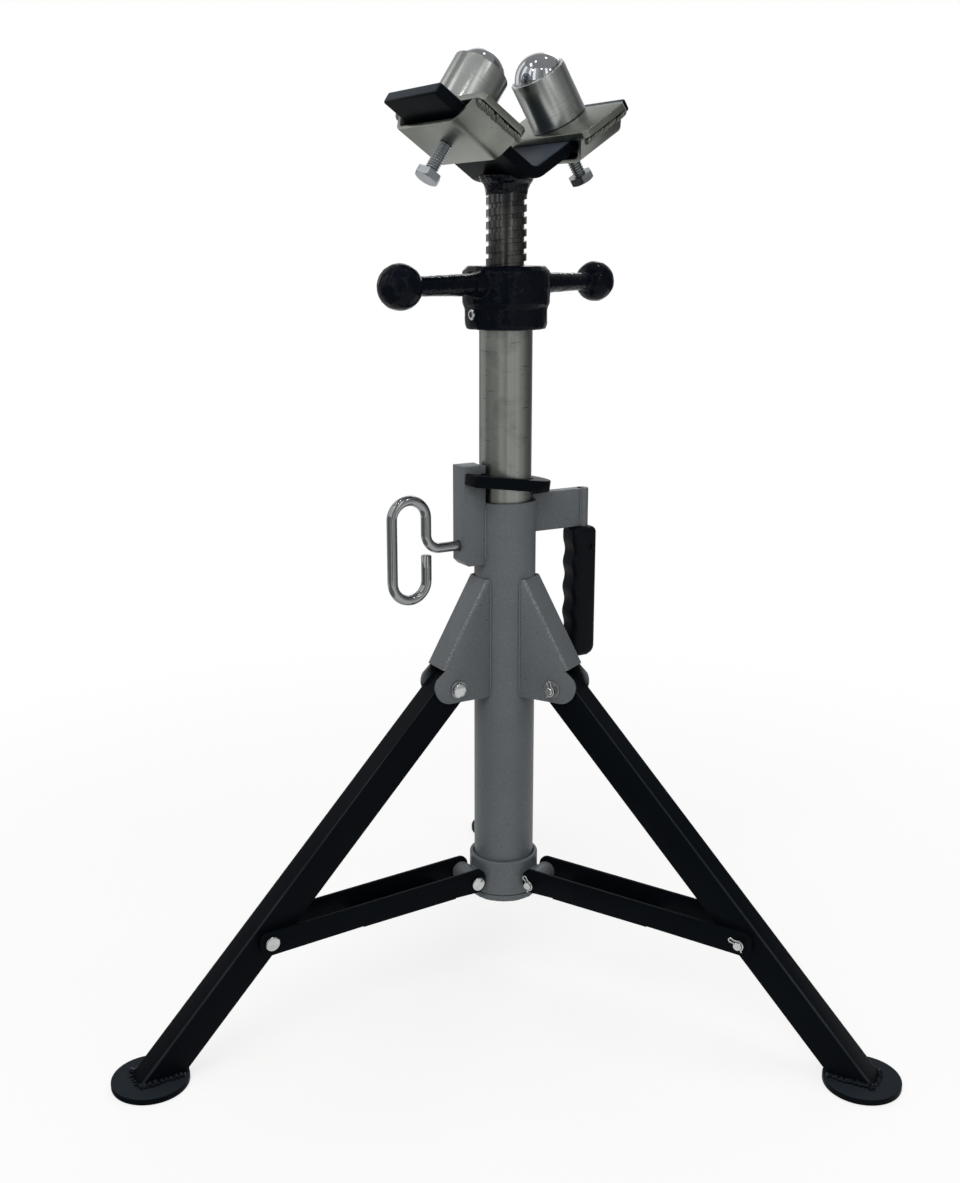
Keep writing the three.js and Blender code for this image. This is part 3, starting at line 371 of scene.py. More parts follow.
gloss = addNode(greyEnamel, "ShaderNodeMapRange", {"To Min": 0.34, "To Max": 0.54}, {"Value": peel.outputs["Fac"]})
bump = addNode(greyEnamel, "ShaderNodeBump", {"Strength": 0.9, "Distance": 0.24 * mm}, {"Height": peel.outputs["Fac"]})
linkTo(greyEnamel, shader, "Base Color", coat.outputs[2])
linkTo(greyEnamel, shader, "Roughness", gloss.outputs["Result"])
linkTo(greyEnamel, shader, "Normal", bump.outputs["Normal"])

# Black powder coat on folded steel: cool black, low satin, a faint peel, grey along the bends from rubbed paint and a
# painted highlight, lighter where it faces up from dust and painted top light
powder = {"dark": "#070a0e", "pale": "#0c1014", "rubbedAndHighlight": "#33383d", "dust": "#394047", "cloud": 60, "peel": 3.0}
blackCoat, shader = newFinish("black_powder_coat", IOR=1.5, Specular_IOR_Level=0.02)
spots = addNode(blackCoat, "ShaderNodeTexCoord", {}).outputs["Object"]
cloud = addNode(blackCoat, "ShaderNodeTexNoise", {"Scale": perGrain(powder["cloud"]), "Detail": 4.0}, {"Vector": spots})
peel = addNode(blackCoat, "ShaderNodeTexNoise", {"Scale": perGrain(powder["peel"]), "Detail": 2.0}, {"Vector": spots})
base = addNode(blackCoat, "ShaderNodeMix", {"data_type": "RGBA", 6: linear(powder["dark"]), 7: linear(powder["pale"])},
               {0: cloud.outputs["Fac"]})
# lighter on faces that look up: dust and painted top light
dust = addNode(blackCoat, "ShaderNodeAttribute", {"attribute_name": "dust"})
dustyAndTopLit = addNode(blackCoat, "ShaderNodeMix", {"data_type": "RGBA", 7: linear(powder["dust"])}, {0: dust.outputs["Fac"], 6: base.outputs[2]})
# grey along the bends: rubbed paint and a painted highlight
bend = addNode(blackCoat, "ShaderNodeAttribute", {"attribute_name": "wear"})
rubbedAndHighlight = addNode(blackCoat, "ShaderNodeMath", {"operation": "MULTIPLY"}, {0: bend.outputs["Fac"], 1: cloud.outputs["Fac"]})
coat = addNode(blackCoat, "ShaderNodeMix", {"data_type": "RGBA", 7: linear(powder["rubbedAndHighlight"])},
               {0: rubbedAndHighlight.outputs[0], 6: dustyAndTopLit.outputs[2]})
gloss = addNode(blackCoat, "ShaderNodeMapRange", {"To Min": 0.28, "To Max": 0.46}, {"Value": peel.outputs["Fac"]})
bump = addNode(blackCoat, "ShaderNodeBump", {"Strength": 0.4, "Distance": 0.14 * mm}, {"Height": peel.outputs["Fac"]})
linkTo(blackCoat, shader, "Base Color", coat.outputs[2])
linkTo(blackCoat, shader, "Roughness", gloss.outputs["Result"])
linkTo(blackCoat, shader, "Normal", bump.outputs["Normal"])

# Black gloss enamel over sand-cast iron: deep blue-black, the sand's lumps break the highlights
casting = {"dark": "#05080e", "pale": "#0b1018", "lump": 6.0, "sand": 1.9}


def glossEnamel(name, level):
    finish, shader = newFinish(name, IOR=1.52, Specular_IOR_Level=level)
    spots = addNode(finish, "ShaderNodeTexCoord", {}).outputs["Object"]
    lump = addNode(finish, "ShaderNodeTexNoise", {"Scale": perGrain(casting["lump"]), "Detail": 3.0}, {"Vector": spots})
    sand = addNode(finish, "ShaderNodeTexNoise", {"Scale": perGrain(casting["sand"]), "Detail": 2.0}, {"Vector": spots})
    coat = addNode(finish, "ShaderNodeMix", {"data_type": "RGBA", 6: linear(casting["dark"]), 7: linear(casting["pale"])},
                   {0: lump.outputs["Fac"]})
    gloss = addNode(finish, "ShaderNodeMapRange", {"To Min": 0.05, "To Max": 0.14}, {"Value": sand.outputs["Fac"]})
    rough = addNode(finish, "ShaderNodeBump", {"Strength": 0.6, "Distance": 0.7 * mm}, {"Height": lump.outputs["Fac"]})
    bump = addNode(finish, "ShaderNodeBump", {"Strength": 0.3, "Distance": 0.06 * mm},
                   {"Height": sand.outputs["Fac"], "Normal": rough.outputs["Normal"]})
    linkTo(finish, shader, "Base Color", coat.outputs[2])
    linkTo(finish, shader, "Roughness", gloss.outputs["Result"])
    linkTo(finish, shader, "Normal", bump.outputs["Normal"])
    return finish


castEnamel = glossEnamel("gloss_enamel_on_cast_iron", 0.06)
weldEnamel = glossEnamel("gloss_enamel_on_weld", 0.14)  # thick and wet on the lumps of a weld

# Moulded black PVC grip: soft sheen over a fine leathery grain
moulding = {"dark": "#06090d", "pale": "#0d1116", "grain": 1.1}
gripPlastic, shader = newFinish("moulded_black_pvc", IOR=1.53, Specular_IOR_Level=0.06)
spots = addNode(gripPlastic, "ShaderNodeTexCoord", {}).outputs["Object"]
grain = addNode(gripPlastic, "ShaderNodeTexVoronoi", {"Scale": perGrain(moulding["grain"])}, {"Vector": spots})
coat = addNode(gripPlastic, "ShaderNodeMix", {"data_type": "RGBA", 6: linear(moulding["dark"]), 7: linear(moulding["pale"])},
               {0: grain.outputs["Distance"]})
gloss = addNode(gripPlastic, "ShaderNodeMapRange", {"To Min": 0.36, "To Max": 0.5}, {"Value": grain.outputs["Distance"]})
bump = addNode(gripPlastic, "ShaderNodeBump", {"Strength": 0.3, "Distance": 0.12 * mm}, {"Height": grain.outputs["Distance"]})
linkTo(gripPlastic, shader, "Base Color", coat.outputs[2])
linkTo(gripPlastic, shader, "Roughness", gloss.outputs["Result"])
linkTo(gripPlastic, shader, "Normal", bump.outputs["Normal"])

# Cold-drawn steel tube, bare: greenish grey, draw lines along it, faint dark rings and thumb smudges
tube = {"dark": "#7f827d", "pale": "#a3a6a0", "smudge": "#3f413d", "line": 0.7, "lineLength": 180, "patch": 26, "ring": 1.8}
drawnSteel, shader = newFinish("cold_drawn_steel", Metallic=1.0)
spots = addNode(drawnSteel, "ShaderNodeTexCoord", {}).outputs["Object"]
along = addNode(drawnSteel, "ShaderNodeMapping", {"Scale": (1, 1, tube["line"] / tube["lineLength"])}, {"Vector": spots})
across = addNode(drawnSteel, "ShaderNodeMapping", {"Scale": (0.12, 0.12, 1)}, {"Vector": spots})
lines = addNode(drawnSteel, "ShaderNodeTexNoise", {"Scale": perGrain(tube["line"] * 4), "Detail": 4.0}, {"Vector": along.outputs[0]})
patch = addNode(drawnSteel, "ShaderNodeTexNoise", {"Scale": perGrain(tube["patch"]), "Detail": 5.0}, {"Vector": spots})
rings = addNode(drawnSteel, "ShaderNodeTexNoise", {"Scale": perGrain(tube["ring"]), "Detail": 3.0}, {"Vector": across.outputs[0]})
base = addNode(drawnSteel, "ShaderNodeMix", {"data_type": "RGBA", 6: linear(tube["dark"]), 7: linear(tube["pale"])},
               {0: lines.outputs["Fac"]})
soil = addNode(drawnSteel, "ShaderNodeMapRange", {"From Min": 0.55, "From Max": 0.78, "To Max": 0.5}, {"Value": patch.outputs["Fac"]})
soiled = addNode(drawnSteel, "ShaderNodeMix", {"data_type": "RGBA", 7: linear(tube["smudge"])},
                 {0: soil.outputs["Result"], 6: base.outputs[2]})
mark = addNode(drawnSteel, "ShaderNodeMapRange", {"From Min": 0.63, "From Max": 0.72, "To Max": 0.6}, {"Value": rings.outputs["Fac"]})
coat = addNode(drawnSteel, "ShaderNodeMix", {"data_type": "RGBA", 7: linear(tube["smudge"])},
               {0: mark.outputs["Result"], 6: soiled.outputs[2]})
gloss = addNode(drawnSteel, "ShaderNodeMapRange", {"To Min": 0.26, "To Max": 0.4}, {"Value": patch.outputs["Fac"]})
bump = addNode(drawnSteel, "ShaderNodeBump", {"Strength": 0.25, "Distance": 0.05 * mm}, {"Height": lines.outputs["Fac"]})
linkTo(drawnSteel, shader, "Base Color", coat.outputs[2])
linkTo(drawnSteel, shader, "Roughness", gloss.outputs["Result"])
linkTo(drawnSteel, shader, "Normal", bump.outputs["Normal"])

# Machined screw, oiled: brown-grey steel with a wet film in patches; black gloss enamel has run down from the head
oil = {"dark": "#252525", "pale": "#676662", "film": 9, "tool": 0.8, "enamel": "#06090e", "enamelFrom": 776, "enamelTo": 793, "run": 14,
       "sideFrom": -3, "sideTo": -11}
oiledSteel, shader = newFinish("oiled_machined_steel", Metallic=1.0)
spots = addNode(oiledSteel, "ShaderNodeTexCoord", {}).outputs["Object"]
film = addNode(oiledSteel, "ShaderNodeTexNoise", {"Scale": perGrain(oil["film"]), "Detail": 4.0}, {"Vector": spots})
flat = addNode(oiledSteel, "ShaderNodeMapping", {"Scale": (0.1, 0.1, 1)}, {"Vector": spots})
tool = addNode(oiledSteel, "ShaderNodeTexNoise", {"Scale": perGrain(oil["tool"]), "Detail": 2.0}, {"Vector": flat.outputs[0]})
upright = addNode(oiledSteel, "ShaderNodeMapping", {"Scale": (1, 1, 0.15)}, {"Vector": spots})
runs = addNode(oiledSteel, "ShaderNodeTexNoise", {"Scale": perGrain(oil["run"]), "Detail": 3.0}, {"Vector": upright.outputs[0]})
parts = addNode(oiledSteel, "ShaderNodeSeparateXYZ", {}, {"Vector": spots})
drip = addNode(oiledSteel, "ShaderNodeMath", {"operation": "MULTIPLY_ADD", 1: 60 * mm, 2: -30 * mm}, {0: runs.outputs["Fac"]})
level = addNode(oiledSteel, "ShaderNodeMath", {"operation": "ADD"}, {0: parts.outputs["Z"], 1: drip.outputs[0]})
above = addNode(oiledSteel, "ShaderNodeMapRange", {"From Min": oil["enamelFrom"] * mm, "From Max": oil["enamelTo"] * mm}, {"Value": level.outputs[0]})
beside = addNode(oiledSteel, "ShaderNodeMapRange", {"From Min": oil["sideFrom"] * mm, "From Max": oil["sideTo"] * mm, "To Max": 0.8},
                 {"Value": parts.outputs["X"]})
cover = addNode(oiledSteel, "ShaderNodeMath", {"operation": "MAXIMUM"}, {0: above.outputs["Result"], 1: beside.outputs["Result"]})
bare = addNode(oiledSteel, "ShaderNodeMath", {"operation": "SUBTRACT", 0: 1.0}, {1: cover.outputs[0]})
base = addNode(oiledSteel, "ShaderNodeMix", {"data_type": "RGBA", 6: linear(oil["dark"]), 7: linear(oil["pale"])},
               {0: film.outputs["Fac"]})
coat = addNode(oiledSteel, "ShaderNodeMix", {"data_type": "RGBA", 7: linear(oil["enamel"])}, {0: cover.outputs[0], 6: base.outputs[2]})
gloss = addNode(oiledSteel, "ShaderNodeMapRange", {"To Min": 0.06, "To Max": 0.18}, {"Value": film.outputs["Fac"]})
bump = addNode(oiledSteel, "ShaderNodeBump", {"Strength": 0.3, "Distance": 0.08 * mm}, {"Height": tool.outputs["Fac"]})
linkTo(oiledSteel, shader, "Base Color", coat.outputs[2])
linkTo(oiledSteel, shader, "Metallic", bare.outputs[0])
linkTo(oiledSteel, shader, "Roughness", gloss.outputs["Result"])
linkTo(oiledSteel, shader, "Normal", bump.outputs["Normal"])

# Zinc plate over mill-finish steel: grey-green, cloudy, with a few dull pits where the mill scale was; dull and dark on the welds
zinc = {"pit": "#33362f", "cloud": 22, "pits": 5.5, "pitSize": 0.45, "grain": 1.4}


def zincFinish(name, dark, pale, dullness):
    finish, shader = newFinish(name, Metallic=1.0)
    spots = addNode(finish, "ShaderNodeTexCoord", {}).outputs["Object"]
    cloud = addNode(finish, "ShaderNodeTexNoise", {"Scale": perGrain(zinc["cloud"]), "Detail": 6.0}, {"Vector": spots})
    grain = addNode(finish, "ShaderNodeTexNoise", {"Scale": perGrain(zinc["grain"]), "Detail": 2.0}, {"Vector": spots})
    pits = addNode(finish, "ShaderNodeTexVoronoi", {"Scale": perGrain(zinc["pits"])}, {"Vector": spots})
    base = addNode(finish, "ShaderNodeMix", {"data_type": "RGBA", 6: linear(dark), 7: linear(pale)}, {0: cloud.outputs["Fac"]})
    pitEdge = zinc["pitSize"] / zinc["pits"]
    pit = addNode(finish, "ShaderNodeMapRange", {"From Min": pitEdge, "From Max": pitEdge * 1.8, "To Min": 0.7, "To Max": 0.0},
                  {"Value": pits.outputs["Distance"]})
    rare = addNode(finish, "ShaderNodeMapRange", {"From Min": 0.52, "From Max": 0.6}, {"Value": cloud.outputs["Fac"]})
    dull = addNode(finish, "ShaderNodeMath", {"operation": "MULTIPLY"}, {0: pit.outputs["Result"], 1: rare.outputs["Result"]})
    coat = addNode(finish, "ShaderNodeMix", {"data_type": "RGBA", 7: linear(zinc["pit"])}, {0: dull.outputs[0], 6: base.outputs[2]})
    gloss = addNode(finish, "ShaderNodeMapRange", {"To Min": dullness, "To Max": dullness + 0.18}, {"Value": cloud.outputs["Fac"]})
    bump = addNode(finish, "ShaderNodeBump", {"Strength": 0.3, "Distance": 0.06 * mm}, {"Height": grain.outputs["Fac"]})
    linkTo(finish, shader, "Base Color", coat.outputs[2])
    linkTo(finish, shader, "Roughness", gloss.outputs["Result"])
    linkTo(finish, shader, "Normal", bump.outputs["Normal"])
    return finish


zincPlate = zincFinish("zinc_plated_steel", "#626663", "#94968d", 0.26)
zincWeld = zincFinish("zinc_plated_weld", "#565955", "#7b7d75", 0.36)
zincBolt = zincFinish("zinc_plated_bolt", "#7d8184", "#aaaeb1", 0.22)
zincWasher = zincFinish("zinc_plated_washer", "#868989", "#a6a9a8", 0.26)

# Bright plated pins and clips, and the drawn rod of the locking pin: smooth pale steel, slightly uneven gloss
bright = {"cloud": 6}


def brightFinish(name, dark, pale, dullness):
    finish, shader = newFinish(name, Metallic=1.0)
    spots = addNode(finish, "ShaderNodeTexCoord", {}).outputs["Object"]
    cloud = addNode(finish, "ShaderNodeTexNoise", {"Scale": perGrain(bright["cloud"]), "Detail": 4.0}, {"Vector": spots})
    coat = addNode(finish, "ShaderNodeMix", {"data_type": "RGBA", 6: linear(dark), 7: linear(pale)}, {0: cloud.outputs["Fac"]})
    gloss = addNode(finish, "ShaderNodeMapRange", {"To Min": dullness, "To Max": dullness + 0.07}, {"Value": cloud.outputs["Fac"]})
    bump = addNode(finish, "ShaderNodeBump", {"Strength": 0.15, "Distance": 0.05 * mm}, {"Height": cloud.outputs["Fac"]})
    linkTo(finish, shader, "Base Color", coat.outputs[2])
    linkTo(finish, shader, "Roughness", gloss.outputs["Result"])
    linkTo(finish, shader, "Normal", bump.outputs["Normal"])
    return finish


brightSteel = brightFinish("bright_plated_steel", "#a2a4a6", "#d0d2d0", 0.1)
rodSteel = brightFinish("bright_drawn_rod", "#85878a", "#989a9a", 0.06)

# Turned steel cups: clean grey with fine tool rings that stretch the highlights along the cup
cup = {"dark": "#9a9d9b", "pale": "#b4b7b4", "ring": 0.9, "cloud": 18}


def turnedFinish(name, spot):
    finish, shader = newFinish(name, Metallic=1.0)
    place, lean, size = spot.inverted().decompose()
    spots = addNode(finish, "ShaderNodeTexCoord", {}).outputs["Object"]
    upright = addNode(finish, "ShaderNodeMapping", {"Location": place, "Rotation": lean.to_euler()}, {"Vector": spots})
    flat = addNode(finish, "ShaderNodeMapping", {"Scale": (0.02, 0.02, 1)}, {"Vector": upright.outputs[0]})
    rings = addNode(finish, "ShaderNodeTexNoise", {"Scale": perGrain(cup["ring"]), "Detail": 3.0}, {"Vector": flat.outputs[0]})
    cloud = addNode(finish, "ShaderNodeTexNoise", {"Scale": perGrain(cup["cloud"]), "Detail": 4.0}, {"Vector": spots})
    coat = addNode(finish, "ShaderNodeMix", {"data_type": "RGBA", 6: linear(cup["dark"]), 7: linear(cup["pale"])},
                   {0: rings.outputs["Fac"]})
    gloss = addNode(finish, "ShaderNodeMapRange", {"To Min": 0.2, "To Max": 0.28}, {"Value": cloud.outputs["Fac"]})
    bump = addNode(finish, "ShaderNodeBump", {"Strength": 0.2, "Distance": 0.05 * mm}, {"Height": rings.outputs["Fac"]})
    linkTo(finish, shader, "Base Color", coat.outputs[2])
    linkTo(finish, shader, "Roughness", gloss.outputs["Result"])
    linkTo(finish, shader, "Normal", bump.outputs["Normal"])
    return finish


# Hardened bearing steel, polished: a dark mirror with a trace of handling film
mirror = {"dark": "#a4a7ab", "pale": "#b6b9bd", "film": 12}
polishedBall, shader = newFinish("polished_bearing_steel", Metallic=1.0)
spots = addNode(polishedBall, "ShaderNodeTexCoord", {}).outputs["Object"]
film = addNode(polishedBall, "ShaderNodeTexNoise", {"Scale": perGrain(mirror["film"]), "Detail": 3.0}, {"Vector": spots})
coat = addNode(polishedBall, "ShaderNodeMix", {"data_type": "RGBA", 6: linear(mirror["dark"]), 7: linear(mirror["pale"])},
               {0: film.outputs["Fac"]})
gloss = addNode(polishedBall, "ShaderNodeMapRange", {"To Min": 0.02, "To Max": 0.06}, {"Value": film.outputs["Fac"]})
linkTo(polishedBall, shader, "Base Color", coat.outputs[2])
linkTo(polishedBall, shader, "Roughness", gloss.outputs["Result"])
print("finishes mixed")

# ---- column: outer tube and its base flange
column = {"outer": 30.25, "wall": 3.8, "bottom": 111.3, "top": 516.8, "lip": 1.1}
inside = column["outer"] - column["wall"]
lipLow = column["top"] - column["lip"]
tubeProfile = [(inside, column["bottom"]), (column["outer"], column["bottom"]), (column["outer"], lipLow)]
tubeProfile += arc(column["outer"] - column["lip"], lipLow, column["lip"], 20, 90, 4)
tubeProfile += arc(inside + column["lip"], lipLow, column["lip"], 90, 180, 4) + [(inside, column["bottom"])]
columnTube = turnPiece("columnTube", tubeProfile)
place(columnTube, around(90))
handOver(columnTube, greyEnamel, "column", ["outer_tube"])

flange = {"outer": 34.7, "hole": 18, "bottom": 104.4, "top": 111.0, "edge": 0.9, "voxel": 0.8, "lump": 5, "push": 1.0}
flangeProfile = [(flange["hole"], flange["bottom"])]
flangeProfile += arc(flange["outer"] - flange["edge"], flange["bottom"] + flange["edge"], flange["edge"], -90, 0, 4)
flangeProfile += arc(flange["outer"] - flange["edge"], flange["top"] - flange["edge"], flange["edge"], 0, 90, 4)
flangeProfile += [(flange["hole"], flange["top"]), (flange["hole"], flange["bottom"])]
baseFlange = turnPiece("baseFlange", flangeProfile)
change(baseFlange, "REMESH", mode="VOXEL", voxel_size=flange["voxel"] * mm)
flangeLumps = bpy.data.textures.new("flangeLumps", "CLOUDS")
flangeLumps.noise_scale = flange["lump"] * mm
change(baseFlange, "DISPLACE", texture=flangeLumps, strength=flange["push"] * mm, mid_level=0.6, texture_coords="LOCAL")
change(baseFlange, "SMOOTH", factor=0.5, iterations=3)
place(baseFlange, around(90))
handOver(baseFlange, greyEnamel, "column", ["base_flange"], 60)
print("column turned")

# ---- boss that guides the locking pin, welded to the column
boss = {"azimuth": -60, "width": 22, "root": 27, "outer": 52, "bottom": 456.5, "top": 553.5, "chamfer": 5,
        "pinZ": 476, "pinHole": 5.5, "clear": 30.55, "slotZ": 534.7, "slotDepth": 34.75, "slot": 13, "tilt": 8.4, "edge": 1.1,
        "bead": 1.5}
halfBoss = boss["width"] / 2
bossOutline = [(boss["root"], boss["bottom"]), (boss["outer"] - boss["chamfer"], boss["bottom"]),
               (boss["outer"], boss["bottom"] + boss["chamfer"]), (boss["outer"], boss["top"]), (boss["root"], boss["top"])]
pinBoss = platePiece("pinBoss", [(x, halfBoss, z) for x, z in bossOutline], (0, -boss["width"], 0))
cutWith(pinBoss, barPiece("bossMastRoom", boss["clear"], (0, 0, column["top"]), (0, 0, boss["top"] + 20), fineTurn * 2))
slotHigh, slotLow = boss["slotZ"] + boss["slot"] / 2, boss["slotZ"] - boss["slot"] / 2
slotOutline = [(-40, slotLow), (boss["slotDepth"], slotLow), (boss["slotDepth"], slotHigh), (-40, slotHigh)]
slotTool = platePiece("bossSlot", [(x, 40, z - boss["slotZ"]) for x, z in slotOutline], (0, -80, 0))
place(slotTool, shift(0, 0, boss["slotZ"]) @ turn("Y", -boss["tilt"]))
cutWith(pinBoss, slotTool)
breakEdges(pinBoss, boss["edge"])
cutWith(pinBoss, barPiece("bossPinHole", boss["pinHole"], (35, 0, boss["pinZ"]), (60, 0, boss["pinZ"])))
bossBeads = []
for side in (-1, 1):
    beadX = math.sqrt(column["outer"] ** 2 - halfBoss ** 2) + 0.4
    ends = [(beadX, side * (halfBoss + 0.3), z) for z in (boss["bottom"] + 3, column["top"] - 4)]
    bossBeads.append(weldBead("bossBead", *ends, boss["bead"], 11 + side))
joinPieces(pinBoss, bossBeads)
place(pinBoss, around(boss["azimuth"]))
handOver(pinBoss, greyEnamel, "column", ["pin_boss"])

# ---- carry handle: flat arm, round post and moulded grip
arm = {"azimuth": 120, "root": 27, "post": 90.1, "postRadius": 6.5, "bottom": 482.2, "top": 520.7, "postFoot": 364,
       "thick": 12, "edge": 1.0, "bead": 1.5}
halfArm = arm["thick"] / 2
armOutline = [(arm["root"], arm["bottom"]), (arm["post"], arm["bottom"]), (arm["post"], arm["top"]), (arm["root"], arm["top"])]
handleArm = platePiece("handleArm", [(x, halfArm, z) for x, z in armOutline], (0, -arm["thick"], 0))
breakEdges(handleArm, arm["edge"])
postProfile = [(0, arm["postFoot"]), (arm["postRadius"], arm["postFoot"])]
postProfile += arc(arm["postRadius"] - 1, arm["top"] - 1, 1, 0, 90, 4) + [(0, arm["top"])]
armPost = turnPiece("handlePost", postProfile, smallTurn)
place(armPost, shift(arm["post"], 0, 0))
armBeads = []
for side in (-1, 1):
    beadX = math.sqrt(column["outer"] ** 2 - halfArm ** 2) + 0.3
    ends = [(beadX, side * (halfArm + 0.3), z) for z in (arm["bottom"] + 2, column["top"] - 3)]
    armBeads.append(weldBead("armBead", *ends, arm["bead"], 21 + side))
    armBeads.append(weldBead("postBead", (arm["post"] - 6, side * 6.4, arm["bottom"] + 1), (arm["post"] - 6, side * 6.4, arm["top"] - 2),
                             0.9, 31 + side))
joinPieces(handleArm, [armPost] + armBeads)
place(handleArm, around(arm["azimuth"]))
handOver(handleArm, greyEnamel, "column", ["handle_bracket"])

grip = {"width": 26, "inner": 16, "outer": 12, "bottom": 346.7, "top": 481.9, "edge": 6, "chamfer": 9,
        "fingers": 4, "depth": 2.4, "start": 366, "end": 470, "bore": 6.8, "screwZ": 462, "screwRadius": 3.2}
gripIn, gripOut = arm["post"] - grip["inner"], arm["post"] + grip["outer"]
gripOutline = [(gripIn + grip["edge"], grip["bottom"]), (gripOut - grip["chamfer"], grip["bottom"])]
gripOutline += [(gripOut - 3.5, grip["bottom"] + 2.6), (gripOut - 0.9, grip["bottom"] + 6), (gripOut, grip["bottom"] + grip["chamfer"] + 1)]
gripOutline += [(gripOut, grip["top"]), (gripIn, grip["top"])]
waves = grip["fingers"] * 10
for i in range(waves + 1):
    dip = (1 - math.cos(i / 10 * math.tau)) / 2
    gripOutline.append((gripIn + grip["depth"] * dip, grip["end"] + (grip["start"] - grip["end"]) * i / waves))
gripOutline += [(gripIn, grip["bottom"] + grip["edge"] + 2), (gripIn + 1.8, grip["bottom"] + 2)]
handGrip = platePiece("handGrip", [(x, grip["width"] / 2, z) for x, z in gripOutline], (0, -grip["width"], 0))
breakEdges(handGrip, grip["edge"], 6, 50)
cutWith(handGrip, barPiece("gripBore", grip["bore"], (arm["post"], 0, grip["bottom"] + 17), (arm["post"], 0, grip["top"] + 20)))
for side in (-1, 1):
    spot = (arm["post"] + 2, side * (grip["width"] / 2 - 1.6), grip["screwZ"])
    cutWith(handGrip, barPiece("gripScrewSeat", grip["screwRadius"], spot, (spot[0], side * 20, spot[2])))
place(handGrip, around(arm["azimuth"]))
handOver(handGrip, gripPlastic, "column", ["hand_grip"])
print("handle made")

# ---- hub brackets: folded channels welded to the column, the sloping web outwards
bracket = {"half": 16.45, "wall": 3.2, "top": 442.5, "topReach": 31, "bottom": 323, "slope": 29.7, "ear": 17,
           "web": 96.9, "root": 24, "bend": 3.6, "wear": 2.6, "bead": 1.3, "edge": 0.5}
slope = math.radians(bracket["slope"])
toe = bracket["topReach"] + (bracket["top"] - bracket["bottom"]) * math.tan(slope)
webEnd = (bracket["topReach"] + bracket["web"] * math.sin(slope), bracket["top"] - bracket["web"] * math.cos(slope))
earOutline = rounded([(bracket["root"], bracket["bottom"], 0), (toe, bracket["bottom"], bracket["ear"]),
                      (bracket["topReach"], bracket["top"], 0), (bracket["root"], bracket["top"], 0)], 14)
earOutline.insert(-2, webEnd)
hubBracket = platePiece("hubBracket", [(x, bracket["half"], z) for x, z in earOutline], (0, -2 * bracket["half"], 0))
webMiddle = Vector(((webEnd[0] + bracket["topReach"]) / 2, 0, (webEnd[1] + bracket["top"]) / 2))
keepFaces(hubBracket, lambda middle, normal: abs(normal.y) > 0.9 or (middle - webMiddle).length < 2)


def webDepth(spot):
    return (bracket["topReach"] - spot.x) * math.cos(slope) + (bracket["top"] - spot.z) * math.sin(slope)


bendEdges(hubBracket, lambda a, b: abs(webDepth(a)) < 0.1 and abs(webDepth(b)) < 0.1 and a.z > webEnd[1] - 0.1 and b.z > webEnd[1] - 0.1 and abs(a.y - b.y) < 0.1,
          bracket["bend"])
change(hubBracket, "SOLIDIFY", thickness=bracket["wall"] * mm, offset=-1, use_even_offset=True)
breakEdges(hubBracket, bracket["edge"], 2, 50)
bracketBeads = []
for side in (-1, 1):
    beadX = math.sqrt(column["outer"] ** 2 - bracket["half"] ** 2) + 0.6
    ends = [(beadX, side * (bracket["half"] + 0.3), z) for z in (bracket["bottom"] + 1, bracket["top"] - 1)]
    bracketBeads.append(weldBead("bracketBead", *ends, bracket["bead"], 41 + side))
joinPieces(hubBracket, bracketBeads)
webRun = Vector((webEnd[0] - bracket["topReach"], 0, webEnd[1] - bracket["top"]))
markBends(hubBracket, [(Vector((bracket["topReach"], side * bracket["half"], bracket["top"])), webRun) for side in (-1, 1)], bracket["wear"])
# marks the inside of the channel, which the grey enamel paints near black as painted shade
inner = hubBracket.data.attributes.new("inside", "FLOAT", "POINT")
for i, point in enumerate(hubBracket.data.vertices):
    spot = point.co / mm
    inner.data[i].value = abs(spot.y) < bracket["half"] - bracket["wall"] + 0.5 and webDepth(spot) > bracket["wall"] - 0.5
for side, azimuth in legSides.items():
    piece = place(copyPiece(hubBracket, "hubBracket." + side), around(azimuth))
    handOver(piece, greyEnamel, "column", ["hub_bracket_" + side])
bpy.data.objects.remove(hubBracket)
print("brackets folded")

# ---- legs: channels with the web outwards, cut level and welded on round feet
leg = {"hub": 62, "hubZ": 336.4, "angle": 43.3, "width": 25.5, "wall": 3, "inner": 13.3, "outer": 17.9, "head": 14,
       "headRound": 9, "foot": 7, "footRadius": 36, "footAt": 382, "footEdge": 1.4, "bend": 3.0, "edge": 0.5,
       "wear": 2.0, "bead": 4.8, "beadPitch": 4.6}
hubSpot = shift(leg["hub"], 0, leg["hubZ"])
legSpot = hubSpot @ turn("Y", -leg["angle"])
halfLeg = leg["width"] / 2
reach = -560
legOutline = rounded([(-leg["inner"], reach, 0), (leg["outer"], reach, 0), (leg["outer"], leg["head"], leg["headRound"]),
                      (-leg["inner"], leg["head"], leg["headRound"])], 8)
legPiece = platePiece("leg", [(x, halfLeg, z) for x, z in legOutline], (0, -leg["width"], 0))
keepFaces(legPiece, lambda middle, normal: abs(normal.y) > 0.9 or (normal.x > 0.95 and middle.z < -100))
bendEdges(legPiece, lambda a, b: min(a.x, b.x) > leg["outer"] - 0.1 and abs(a.y - b.y) < 0.1 and abs(a.z - b.z) > 100, leg["bend"])
change(legPiece, "SOLIDIFY", thickness=leg["wall"] * mm, offset=-1, use_even_offset=True)
place(legPiece, legSpot)
bpy.ops.object.mode_set(mode="EDIT")
bpy.ops.mesh.select_all(action="SELECT")
bpy.ops.mesh.bisect(plane_co=(0, 0, (leg["foot"] + 0.15) * mm), plane_no=(0, 0, 1), use_fill=True, clear_inner=True)
closeUp()
breakEdges(legPiece, leg["edge"], 2, 50)
legRun = legSpot.to_3x3() @ Vector((0, 0, reach - leg["head"]))
markBends(legPiece, [(legSpot @ (Vector((leg["outer"], side * halfLeg, leg["head"])) * mm) / mm, legRun) for side in (-1, 1)], leg["wear"])

